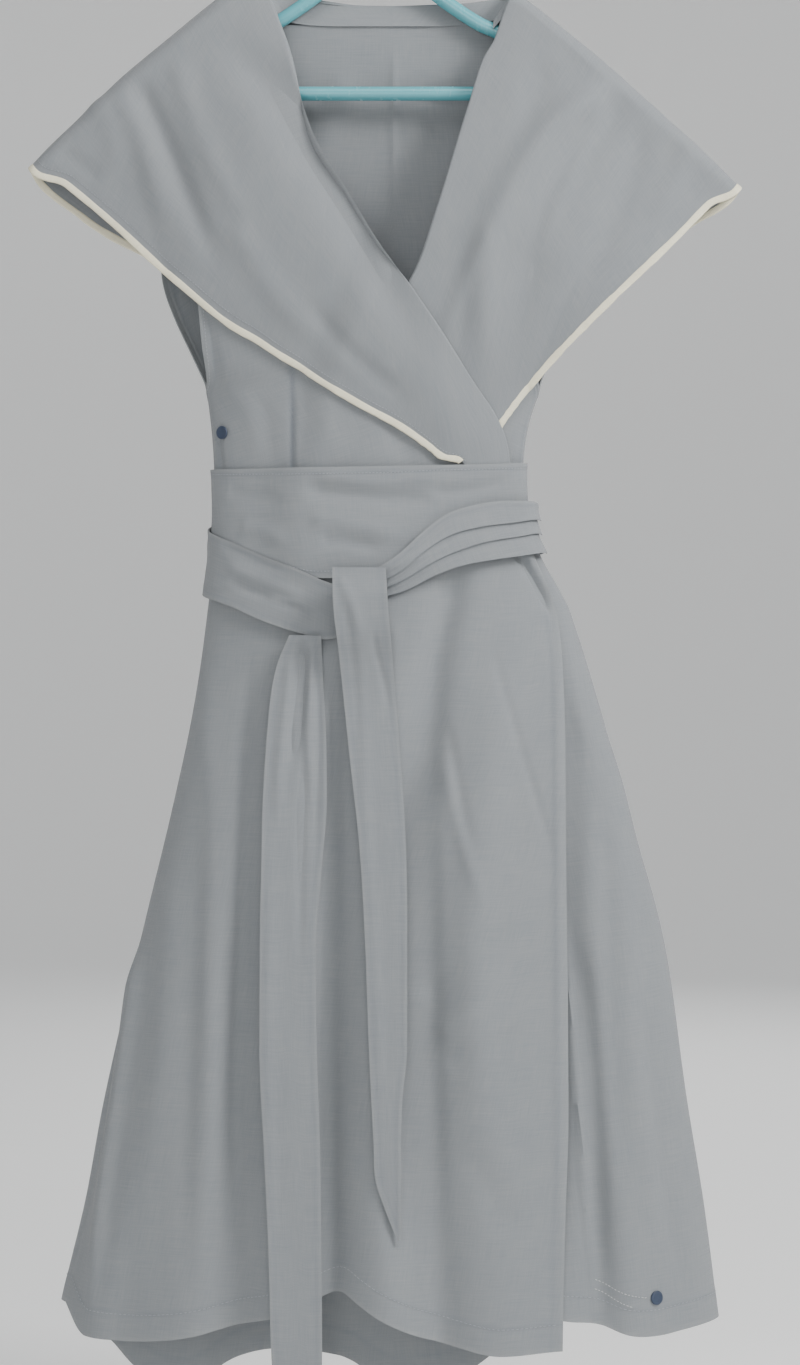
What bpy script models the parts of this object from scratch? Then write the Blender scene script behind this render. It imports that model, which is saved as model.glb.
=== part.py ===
"""A wrap midi dress with a wide cape collar and a tied sash, hung on a tubular hanger.

All sizes are real ones in millimetres, and a mesh is scaled to metres when it is made.
The origin is the seat of the hanger's hook, +Z is up, the dress faces -Y, and +X is on
the viewer's right. "drop" is a distance below the hook seat, so z = -drop. "angle" goes
round the dress in degrees: 90 centre back, 180 left side, 270 centre front, 360 right side.
Every piece of cloth is a closed wall that follows a surface worked out from short tables.
"""
import math
from collections import namedtuple

import bpy
import numpy as np

MM = 0.001
WALL = 1.2
SEAM = 0.3
HALF_TURN = math.pi

# Layers of cloth over the body, as distances from its surface to the middle of a wall
COLLAR_LIFT = 3.2
OVER_LIFT = 5.6
SKIRT_OVER_LIFT = 5.2
BAND_LIFT = 10.6
BAND_SIDE_LIFT = 3.6
TIE_STEP = 2.3

# The collar's roll at the neck, its belly, and the trim that ends short of the waist
ROLL_SHARE = 0.06
ROLL_RADIUS = 1.6
BELLY = 6.0
UNDER_BELLY_SHARE = 0.6
STAND_RIBS = 6.4
PIPING_WIDTH = 5.4
PIPING_DEPTH = 2.4
WRAP_MARGIN = 5.4
CENTRE_GAP = 0.004

# The hanger's tube
TUBE = 12.0
HOOK_TUBE = 10.0
HOOK_RADIUS = 27.0
HANGER_TOP = 112.0
HANGER_REACH = 188.0
HANGER_BAR = 214.5
HANGER_END_TURN = 8.25
HANGER_ARM_END = 66
HANGER_JOINT = 1.1
STEM_KNOTS = [(9.0, -54.0), (1.5, -66.0), (0.0, -80.0)]
ARM_KNOTS = [(24.0, -114.5), (44.0, -124.0), (62.0, -137.0), (86.0, -152.8), (106.0, -162.0)]

# The shoulders: half-thickness of the fold of cloth over the hanger
BODY_FOLD = 8.5
COLLAR_FOLD = 12.0
NECK_SIDE = 86.0
SHOULDER_TOP = 144.0
SHOULDER_SLOPE = 0.455
RAMP = 220.0

# The collar's fold line: level at the neck, then sloping to each tip
RIDGE_LEFT = (-103.0, 110.0, -0.871)
RIDGE_RIGHT = (117.0, 127.0, 0.872)
RIDGE_ROUNDING = 5.0
RIDGE_RISE = 3.0

WAIST_SEAM = 578.0
BAND_TOP = 541.0
BAND_BOTTOM = 614.0
CENTRE_BACK = 14.0

Section = namedtuple("Section", "drop left right front back")
BODY = [
    Section(120, -262, 262, 34, 24),
    Section(204, -255, 255, 35, 25),
    Section(300, -222, 222, 37, 26),
    Section(361, -200, 196, 38, 26),
    Section(391, -188, 180, 38, 26),
    Section(419, -175, 167, 37, 26),
    Section(454, -157, 149, 36, 25),
    Section(471, -148, 141, 35, 25),
    Section(500, -143, 131, 34, 24),
    Section(541, -140, 126, 33, 24),
    Section(578, -139, 128, 34, 24),
    Section(614, -141, 141, 37, 26),
    Section(653, -145, 162, 41, 28),
    Section(740, -157, 191, 48, 32),
    Section(826, -175, 214, 54, 35),
    Section(938, -202, 246, 60, 38),
    Section(1086, -236, 268, 66, 42),
    Section(1172, -252, 282, 70, 44),
    Section(1256, -272, 293, 74, 46),
    Section(1360, -292, 306, 78, 48),
]

Fold = namedtuple("Fold", "x_waist x_hem width height start")
FRONT_FOLDS = [
    Fold(-96, -243, 15, 6, 900),
    Fold(-112, -170, 34, 7, 660),
    Fold(-92, -124, 20, -6, 660),
    Fold(-62, -78, 24, 9, 640),
    Fold(-30, -38, 19, -8, 630),
    Fold(4, 8, 25, 8, 640),
    Fold(38, 55, 20, -7, 630),
    Fold(82, 108, 40, 6, 660),
    Fold(150, 190, 16, -5, 800),
    Fold(158, 224, 22, 6, 760),
]
BACK_FOLDS = [
    Fold(-110, -226, 24, 8, 760),
    Fold(-80, -160, 26, -9, 700),
    Fold(-46, -92, 30, 9, 660),
    Fold(-18, -28, 22, -7, 660),
    Fold(20, 44, 28, 9, 660),
    Fold(56, 112, 24, -8, 690),
    Fold(92, 176, 30, 8, 720),
    Fold(120, 236, 20, -6, 800),
]

Armhole = namedtuple("Armhole", "drop front back")
ARMHOLE = [
    Armhole(150, 47, 47),
    Armhole(183, 47, 47),
    Armhole(250, 46, 41),
    Armhole(320, 43, 28),
    Armhole(361, 39, 16),
    Armhole(391, 35, 13),
    Armhole(430, 26, 12),
    Armhole(455, 16, 9),
    Armhole(471, 0, 0),
    Armhole(600, 0, 0),
]

# Ribs of each collar from the neck fold to the outer edge; side is -1 behind, 1 in front
Rib = namedtuple("Rib", "side roll_x roll_drop edge_x edge_drop")
COLLAR_LEFT = [
    Rib(-1, 14, 138, 14, 407),
    Rib(-1, -20, 137, -60, 404),
    Rib(-1, -55, 133, -130, 385),
    Rib(-1, -80, 124, -195, 352),
    Rib(-1, -96, 114, -255, 318),
    Rib(0, -103, 110, -298, 279),
    Rib(1, -98, 122, -261, 300),
    Rib(1, -92, 138, -220, 337),
    Rib(1, -82, 167, -170, 380),
    Rib(1, -67, 216, -110, 426),
    Rib(1, -49, 264, -60, 457),
    Rib(1, -23, 307, -15, 485),
    Rib(1, 3, 350, 20, 504),
    Rib(1, 33, 394, 45, 519),
    Rib(1, 72, 454, 62, 528),
    Rib(1, 104, 506, 73, 534),
    Rib(1, 112, 546, 80, 547),
]
COLLAR_RIGHT = [
    Rib(-1, 14, 138, 14, 407),
    Rib(-1, 50, 137, 85, 404),
    Rib(-1, 80, 135, 150, 386),
    Rib(-1, 102, 132, 212, 355),
    Rib(-1, 112, 129, 270, 325),
    Rib(0, 117, 127, 312, 297),
    Rib(1, 115, 136, 284, 312),
    Rib(1, 110, 150, 255, 342),
    Rib(1, 102, 172, 222, 374),
    Rib(1, 91, 192, 193, 402),
    Rib(1, 80, 229, 168, 427),
    Rib(1, 67, 272, 148, 448),
    Rib(1, 54, 316, 130, 469),
    Rib(1, 38, 366, 115, 488),
    Rib(1, 18, 405, 102, 506),
    Rib(1, -5, 460, 90, 522),
    Rib(1, -28, 546, 74, 547),
]
SHOULDER_RIB = 5
LAST_RIB = 16
PIPING_END = 15.25

# Rows of the grids: close together where cloth turns over the shoulder or round the tip
SHOULDER_ROWS = [0, 0.009, 0.018, 0.027, 0.038]
TIP_RIBS = [4.4, 4.65, 4.78, 4.87, 4.94, 5.0, 5.06, 5.13, 5.22, 5.36, 5.6]
RIB_ROWS = list(np.linspace(0, 4, 8)) + TIP_RIBS + list(np.linspace(6, LAST_RIB, 21))
COLLAR_COLUMNS = [rib / LAST_RIB for rib in RIB_ROWS]

# Where the foot of the neck band meets the neck seam, for the first ribs of each collar
Foot = namedtuple("Foot", "x drop y")
STAND_LEFT = [Foot(14, 152, 8.6), Foot(-20, 152, 8.6), Foot(-52, 151.5, 8.6), Foot(-74, 149, 8.2),
              Foot(-83, 145, 5.5), Foot(-87, 142.5, 0), Foot(-86, 145, -5.5), Foot(-84, 153, -9)]
STAND_RIGHT = [Foot(14, 152, 8.6), Foot(44, 152, 8.6), Foot(68, 151.5, 8.6), Foot(88, 149.5, 8.2),
               Foot(98, 148.5, 5.5), Foot(102, 148, 0), Foot(101, 150, -5.5), Foot(100, 159, -9)]

# Where the neck edge of each front crosses the body
Edge = namedtuple("Edge", "drop left right")
WRAP = [
    Edge(140, -88, 104),
    Edge(167, -83, 102),
    Edge(192, -75, 91),
    Edge(216, -67, 84),
    Edge(264, -49, 69),
    Edge(307, -23, 57),
    Edge(350, 3, 43),
    Edge(394, 33, 23),
    Edge(454, 72, -3),
    Edge(506, 104, -17),
    Edge(546, 112, -28),
    Edge(600, 114, -34),
]

# Free edge of the over skirt, and the hems as drops
Free = namedtuple("Free", "drop x")
OVER_EDGE = [Free(570, 118), Free(640, 140), Free(659, 147), Free(688, 153), Free(740, 158),
             Free(826, 160), Free(1086, 161), Free(1182, 158), Free(1310, 155)]
UNDER_EDGE = -12.0
Hem = namedtuple("Hem", "x drop")
OVER_HEM = [Hem(-275, 1257), Hem(-249, 1281), Hem(-217, 1282), Hem(-191, 1280), Hem(-155, 1274),
            Hem(-121, 1265), Hem(-93, 1257), Hem(-62, 1244), Hem(-35, 1236), Hem(-18, 1245),
            Hem(0, 1256), Hem(35, 1273), Hem(71, 1282), Hem(105, 1288), Hem(156, 1286),
            Hem(200, 1286)]
UNDER_HEM = [Hem(-20, 1240), Hem(60, 1250), Hem(140, 1256), Hem(160, 1262), Hem(191, 1267),
             Hem(216, 1276), Hem(240, 1278), Hem(265, 1275), Hem(298, 1271)]
BACK_HEM = [Hem(-275, 1257), Hem(-249, 1284), Hem(-232, 1300), Hem(-208, 1324), Hem(-170, 1342),
            Hem(-122, 1318), Hem(-75, 1313), Hem(-34, 1315), Hem(20, 1345), Hem(64, 1340),
            Hem(100, 1314), Hem(140, 1272), Hem(200, 1262), Hem(298, 1270)]

# Bands of the sash as they go round: upper and lower edge, and how far they lie out
Band = namedtuple("Band", "angle top bottom lift")
WRAP_FRONT = [Band(183, 540, BAND_BOTTOM, 0), Band(230, BAND_TOP, BAND_BOTTOM, 0),
              Band(300, 539, BAND_BOTTOM, 0), Band(357, 534, BAND_BOTTOM, 0)]
WRAP_BACK = [Band(3, 534, BAND_BOTTOM, 0), Band(90, BAND_TOP, BAND_BOTTOM, 0),
             Band(177, 540, BAND_BOTTOM, 0)]
TIE_LEFT = [
    Band(160, 584, 640, 1.0),
    Band(180, 590, 646, 1.0),
    Band(213, 601, 657, 1.0),
    Band(229, 611, 668, 1.0),
    Band(242, 618, 678, 1.0),
    Band(250, 629, 683, 1.0),
    Band(254.5, 645, 676, 1.0),
]
STRAND_TOP = [
    Band(276, 622, 633, 3.0),
    Band(288, 597, 613, 3.0),
    Band(297.4, 582, 603, 3.0),
    Band(310.5, 573, 592, 3.0),
    Band(324, 569, 585, 3.2),
    Band(344.5, 569, 581, 3.6),
    Band(362, 572, 584, 3.6),
]
STRAND_MIDDLE = [
    Band(276, 629, 641, 2.0),
    Band(288, 609, 628, 2.0),
    Band(297.4, 598, 618, 2.0),
    Band(310.5, 588, 606, 2.0),
    Band(324, 580, 599, 2.0),
    Band(344.5, 575, 594, 2.2),
    Band(362, 578, 597, 2.2),
]
STRAND_LOW = [
    Band(276, 637, 646, 1.0),
    Band(288, 622, 634, 1.0),
    Band(297.4, 612, 627, 1.0),
    Band(310.5, 603, 621, 1.0),
    Band(324, 596, 618, 1.0),
    Band(344.5, 590, 616, 1.0),
    Band(364, 592, 616, 1.0),
]

Tail = namedtuple("Tail", "drop left right")
TAIL_CENTRE = [
    Tail(627, -37, 8),
    Tail(660, -36, 10),
    Tail(696, -32, 13),
    Tail(782, -23, 20),
    Tail(864, -14, 25),
    Tail(948, -9, 26),
    Tail(1031, -6, 26),
    Tail(1073, -4, 22),
    Tail(1110, -2, 21),
    Tail(1136, -1, 21),
    Tail(1165, 8, 21),
    Tail(1190, 18, 21.5),
]
TAIL_LEFT = [
    Tail(686, -62, -47),
    Tail(705, -74, -46),
    Tail(740, -85, -43),
    Tail(790, -93, -40),
    Tail(864, -96, -43),
    Tail(948, -96, -44),
    Tail(1031, -94, -46),
    Tail(1115, -92, -48),
    Tail(1198, -89, -47),
    Tail(1294, -86, -44),
    Tail(1322, -84, -44),
    Tail(1346, -60, -46),
]
TAIL_GAP = 2.2
KNOT_CENTRE = (-13.0, 650.0)
KNOT_SIZE = (25.0, 9.0, 21.0)
KNOT_GAP = 1.4
KNOT_RINGS = 6
KNOT_SIDES = 12

Dot = namedtuple("Dot", "angle drop radius")
DOT_BODICE = Dot(201.8, 509, 5.7)
DOT_HEM = Dot(323.6, 1250, 6.0)
DOT_THICKNESS = 1.8


def smooth(value):
    """Ease from 0 to 1 as the value goes from 0 to 1."""
    t = np.clip(value, 0.0, 1.0)
    return t * t * (3 - 2 * t)


def soft_max(a, b, width):
    """The larger of two values with the corner between them rounded."""
    return np.logaddexp(a / width, b / width) * width


def curve(rows, key, column):
    """Return a smooth function through one column of a table; key None counts the rows."""
    knots = np.array([index if key is None else getattr(row, key)
                      for index, row in enumerate(rows)], float)
    values = np.array([getattr(row, column) for row in rows], float)
    steps = np.diff(values) / np.diff(knots)
    slopes = np.zeros(len(knots))
    slopes[0] = steps[0]
    slopes[-1] = steps[-1]
    same_way = steps[:-1] * steps[1:] > 0
    slopes[1:-1] = np.where(same_way, (steps[:-1] + steps[1:]) / 2, 0.0)
    limit = 3 * np.minimum(np.abs(steps[:-1]), np.abs(steps[1:]))
    slopes[1:-1] = np.clip(slopes[1:-1], -limit, limit)

    def at(position):
        where = np.clip(position, knots[0], knots[-1])
        index = np.clip(np.searchsorted(knots, where, side="right") - 1, 0, len(knots) - 2)
        span = knots[index + 1] - knots[index]
        t = (where - knots[index]) / span
        start = values[index] * (1 + 2 * t) * (1 - t) ** 2
        end = values[index + 1] * t * t * (3 - 2 * t)
        lean = slopes[index] * t * (1 - t) ** 2 - slopes[index + 1] * t * t * (1 - t)
        return start + end + span * lean
    return at


body_left = curve(BODY, "drop", "left")
body_right = curve(BODY, "drop", "right")
body_front = curve(BODY, "drop", "front")
body_back = curve(BODY, "drop", "back")
wrap_left = curve(WRAP, "drop", "left")
wrap_right = curve(WRAP, "drop", "right")


def body_x(angle, drop):
    """Sideways place of a point of the body's tube."""
    middle = (body_left(drop) + body_right(drop)) / 2
    half = (body_right(drop) - body_left(drop)) / 2
    return middle + half * np.cos(angle)


def front_angle(x, drop):
    """Angle of the point on the front of the body at a given x."""
    middle = (body_left(drop) + body_right(drop)) / 2
    half = (body_right(drop) - body_left(drop)) / 2
    return 2 * HALF_TURN - np.arccos(np.clip((x - middle) / half, -0.9999, 0.9999))


def shoulder_drop(x):
    """Drop of the cloth's fold over the hanger's arms, level across the neck."""
    return SHOULDER_TOP + SHOULDER_SLOPE * soft_max(np.abs(x) - NECK_SIDE, 0.0, 3.0)


def top_drop(angle):
    """Drop of the shoulder line for one angle of the body."""
    drop = np.full(np.shape(angle), 165.0)
    for _ in range(6):
        drop = shoulder_drop(body_x(angle, drop))
    return drop


def collar_ridge(x):
    """Drop of the collar's fold line, which slopes straight to each tip."""
    left_x, left_drop, left_slope = RIDGE_LEFT
    right_x, right_drop, right_slope = RIDGE_RIGHT
    neck = left_drop + (x - left_x) * (right_drop - left_drop) / (right_x - left_x)
    left = left_drop + left_slope * (x - left_x)
    right = right_drop + right_slope * (x - right_x)
    sides = soft_max(left, right, RIDGE_ROUNDING)
    return soft_max(neck, sides, RIDGE_ROUNDING) - RIDGE_RISE


def fold_over(run, radius):
    """Fall and reach of cloth that turns over an edge and then hangs."""
    turn = radius * HALF_TURN / 2
    bent = np.clip(run, -turn, turn) / radius
    fall = radius * (1 - np.cos(bent)) + np.maximum(np.abs(run) - turn, 0.0)
    return fall, radius * np.sin(bent)


def run_for_fall(fall, radius):
    """Length of cloth that reaches a given fall below its fold."""
    turned = radius * np.arccos(np.clip(1 - fall / radius, -1, 1))
    return np.where(fall < radius, turned, radius * HALF_TURN / 2 + fall - radius)


def fold_height(x, drop, folds):
    """Sum of the long skirt folds at a point, positive outwards."""
    height = np.zeros(np.broadcast(x, drop).shape)
    for fold in folds:
        along = (drop - 600) / 700
        middle = fold.x_waist + (fold.x_hem - fold.x_waist) * along
        grown = smooth((drop - fold.start) / 520)
        height = height + fold.height * grown * np.exp(-((x - middle) / fold.width) ** 2)
    return height


def side_flatness(side, drop):
    """Share of the depth near the sides: nearly flat over the hanger, round at the waist."""
    wide = side ** 0.35
    return wide + (side - wide) * smooth((drop - 400) / 110)


def body_point(angle, run):
    """Point of the body's surface at an angle and a length of cloth below the shoulder."""
    fall, reach = fold_over(run, BODY_FOLD)
    drop = top_drop(angle) + fall
    x = body_x(angle, drop)
    side = np.sin(angle)
    flat = np.sign(side) * side_flatness(np.abs(side), drop)
    depth = np.where(side < 0, body_front(drop), body_back(drop))
    share = smooth((drop - collar_ridge(x)) / RAMP) * (1 - np.exp(-fall / 15))
    waves = np.where(side < 0, fold_height(x, drop, FRONT_FOLDS), fold_height(x, drop, BACK_FOLDS))
    y = flat * (reach + (depth - BODY_FOLD) * share + waves)
    return np.stack([x, y, -drop], axis=-1)


def collar_point(x, run):
    """Point of the collar's own tent; run is positive in front and negative behind."""
    fall, reach = fold_over(run, COLLAR_FOLD)
    drop = collar_ridge(x) + fall
    depth = np.where(run > 0, body_front(drop), body_back(drop))
    share = smooth(fall / RAMP)
    middle = (body_left(drop) + body_right(drop)) / 2
    half = (body_right(drop) - body_left(drop)) / 2
    round_side = np.sqrt(np.clip(1 - ((x - middle) / half) ** 2, 0.16, 1))
    depth = depth * np.where(run > 0, side_flatness(round_side, drop), 1.0)
    y = -reach - np.sign(run) * (depth + COLLAR_LIFT - COLLAR_FOLD) * share
    return np.stack([x, y, -drop], axis=-1)


def surface_normal(point, first, second, step_first, step_second):
    """Outward unit normal of a surface, from small steps along it."""
    along = point(first + step_first, second) - point(first - step_first, second)
    down = point(first, second + step_second) - point(first, second - step_second)
    normal = -np.cross(along, down)
    return normal / np.linalg.norm(normal, axis=-1, keepdims=True)


def body_lifted(angle, run, lift):
    """Body point moved out by a layer's distance."""
    normal = surface_normal(body_point, angle, run, 0.002, 0.4)
    return body_point(angle, run) + normal * np.asarray(lift)[..., None]


def body_at(angle, drop, lift):
    """Lifted body point at a given drop."""
    return body_lifted(angle, run_for_fall(drop - top_drop(angle), BODY_FOLD), lift)


def over_lift(x, drop):
    """Lift of the left front where the right front and its collar lie beneath it."""
    return OVER_LIFT * smooth((x - wrap_right(drop) + 58) / 36)


def band_lift(angle, drop):
    """Lift of the sash where it goes round the waist."""
    x = body_x(angle, drop)
    in_front = smooth(-np.sin(angle) / 0.42)
    overlap = smooth((x - wrap_right(BAND_TOP) + 78) / 46)
    lift = BAND_SIDE_LIFT + (BAND_LIFT - BAND_SIDE_LIFT) * in_front * overlap
    over_skirt = smooth((drop - 620) / 36)
    return lift + (4.2 * in_front + BAND_SIDE_LIFT * (1 - in_front) - lift) * over_skirt


def closed_mesh(name, points, faces, colour, roughness):
    """Make one object from points in millimetres and faces, turned to face outwards."""
    corners = np.array(points) * MM
    signed = 0.0
    for face in faces:
        first = corners[face[0]]
        for second, third in zip(face[1:-1], face[2:]):
            signed += np.dot(first, np.cross(corners[second], corners[third]))
    if signed < 0:
        faces = [tuple(reversed(face)) for face in faces]
    mesh = bpy.data.meshes.new(name)
    mesh.from_pydata([tuple(corner) for corner in corners], [], faces)
    mesh.shade_smooth()
    mesh.set_sharp_from_angle(angle=math.radians(50))
    part = bpy.data.objects.new(name, mesh)
    material = bpy.data.materials.new(name)
    material.use_nodes = True
    shader = material.node_tree.nodes["Principled BSDF"]
    shader.inputs["Base Color"].default_value = colour
    shader.inputs["Roughness"].default_value = roughness
    mesh.materials.append(material)
    bpy.context.scene.collection.objects.link(part)
    return part


CLOTH = ((0.30, 0.34, 0.38, 1), 0.85)
TRIM = ((0.78, 0.74, 0.62, 1), 0.7)
PLASTIC = ((0.16, 0.52, 0.58, 1), 0.3)
NAVY = ((0.03, 0.06, 0.14, 1), 0.4)


def wall_faces(across, down):
    """Faces of a wall whose two skins are grids and whose rim is closed."""
    size = across * down
    faces = []
    for i in range(across - 1):
        for j in range(down - 1):
            a = i * down + j
            b = a + down
            for first, second, third in ((a, b, b + 1), (a, b + 1, a + 1)):
                faces.append((first, second, third))
                faces.append((size + third, size + second, size + first))
    rim = [i * down for i in range(across)]
    rim += [(across - 1) * down + j for j in range(1, down)]
    rim += [i * down + down - 1 for i in range(across - 2, -1, -1)]
    rim += list(range(down - 2, 0, -1))
    for a, b in zip(rim, rim[1:] + rim[:1]):
        faces.append((b, a, size + a, size + b))
    return faces


def sheet(name, surface, us, vs, finish=CLOTH):
    """Make a closed cloth wall on a surface given over u and v from 0 to 1."""
    u, v = np.meshgrid(np.asarray(us, float), np.asarray(vs, float), indexing="ij")
    normal = surface_normal(surface, u, v, 0.0015, 0.0015)
    middle = surface(u, v)
    skins = [middle + normal * WALL / 2, middle - normal * WALL / 2]
    points = np.concatenate([skin.reshape(-1, 3) for skin in skins])
    return closed_mesh(name, points, wall_faces(len(us), len(vs)), *finish)


def tube(name, path, radius, sides, finish):
    """Make a round bar along a path of points, with flat ends."""
    path = np.asarray(path, float)
    points = []
    previous = np.array([0.0, 1.0, 0.0])
    for index, centre in enumerate(path):
        before = path[max(index - 1, 0)]
        after = path[min(index + 1, len(path) - 1)]
        ahead = (after - before) / np.linalg.norm(after - before)
        across = previous - ahead * np.dot(previous, ahead)
        across /= np.linalg.norm(across)
        other = np.cross(ahead, across)
        for side in range(sides):
            turn = 2 * HALF_TURN * side / sides
            points.append(centre + radius * (across * math.cos(turn) + other * math.sin(turn)))
        previous = across
    faces = []
    for ring in range(len(path) - 1):
        for side in range(sides):
            a = ring * sides + side
            b = ring * sides + (side + 1) % sides
            faces.append((a, b, b + sides, a + sides))
    faces.append(tuple(reversed(range(sides))))
    faces.append(tuple(range((len(path) - 1) * sides, len(path) * sides)))
    return closed_mesh(name, points, faces, *finish)


Knot = namedtuple("Knot", "x z")


def round_path(knots, count):
    """Points of a smooth curve through a few knots in the plane y = 0."""
    rows = [Knot(*knot) for knot in knots]
    where = np.linspace(0, len(rows) - 1, count)
    x = curve(rows, None, "x")(where)
    z = curve(rows, None, "z")(where)
    return np.stack([x, np.zeros(count), z], axis=-1)


def graded(count, power=1.0):
    """Rows from 0 to 1, closer together at the start for a power above 1."""
    return np.linspace(0, 1, count) ** power


def close_at_end(count):
    """Columns from 0 to 1, closer together towards 1, where the cloth turns round the side."""
    return np.sin(np.linspace(0, HALF_TURN / 2, count))


def close_at_start(count):
    """Columns from 0 to 1, closer together towards 0."""
    return 1 - close_at_end(count)[::-1]


def close_at_both(count):
    """Columns from 0 to 1, closer together towards both sides."""
    return (1 - np.cos(np.linspace(0, HALF_TURN, count))) / 2


def armhole(drop, column):
    """Angle that an armhole leaves free beside the side seam."""
    return np.radians(curve(ARMHOLE, "drop", column)(drop))


def seam_angle(drop, column):
    """Half of a seam's gap as an angle at the side of the body."""
    return SEAM / curve(BODY, "drop", column)(drop)


def down_from_shoulder(angle_at, top_start, top_end, lift, neck_drop=None):
    """Surface of a bodice panel; angle_at gives its angle for u and a drop."""
    def surface(u, v):
        guess = (top_start + (top_end - top_start) * u)
        guess = guess + (WAIST_SEAM - guess) * v
        angle = angle_at(u, guess)
        start = 0.25
        if neck_drop is not None:
            start = run_for_fall(soft_max(neck_drop - top_drop(angle), 0.03, 1.2), BODY_FOLD)
        end = run_for_fall(WAIST_SEAM - SEAM / 2 - top_drop(angle), BODY_FOLD)
        run = start + (end - start) * v
        x = body_x(angle, guess)
        return body_lifted(angle, run, lift(x, guess))
    return surface


def no_lift(x, drop):
    """A layer that is the body's surface itself."""
    return np.zeros(np.broadcast(x, drop).shape)


def front_over_angle(u, drop):
    """From the left side seam or armhole to the left neck edge."""
    side = HALF_TURN + armhole(drop, "front") + seam_angle(drop, "front")
    neck = front_angle(wrap_left(drop) - WRAP_MARGIN, drop)
    return side + (neck - side) * u


def front_under_angle(u, drop):
    """From the right neck edge to the right side seam or armhole."""
    side = 2 * HALF_TURN - armhole(drop, "front") - seam_angle(drop, "front")
    neck = front_angle(wrap_right(drop) + WRAP_MARGIN, drop)
    return neck + (side - neck) * u


def back_left_angle(u, drop):
    """From the centre back seam to the left side seam or armhole."""
    side = HALF_TURN - armhole(drop, "back") - seam_angle(drop, "back")
    centre = 2 * HALF_TURN - front_angle(CENTRE_BACK - SEAM / 2, drop)
    return centre + (side - centre) * u


def back_right_angle(u, drop):
    """From the right side seam or armhole to the centre back seam."""
    side = armhole(drop, "back") + seam_angle(drop, "back")
    centre = 2 * HALF_TURN - front_angle(CENTRE_BACK + SEAM / 2, drop)
    return side + (centre - side) * u


def make_bodice():
    """The two crossing fronts and the two backs, from shoulder to waist seam."""
    rows = SHOULDER_ROWS + list(np.linspace(0.08, 1, 11))
    sheet("bodice_front_over", down_from_shoulder(front_over_angle, 183, 147, over_lift),
          graded(17), rows)
    sheet("bodice_front_under", down_from_shoulder(front_under_angle, 153, 183, no_lift),
          close_at_end(13), rows)
    neck = 153.0
    sheet("bodice_back_left", down_from_shoulder(back_left_angle, neck, 183, no_lift, neck),
          close_at_end(10), rows)
    sheet("bodice_back_right", down_from_shoulder(back_right_angle, 183, neck, no_lift, neck),
          close_at_start(10), rows)


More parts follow.
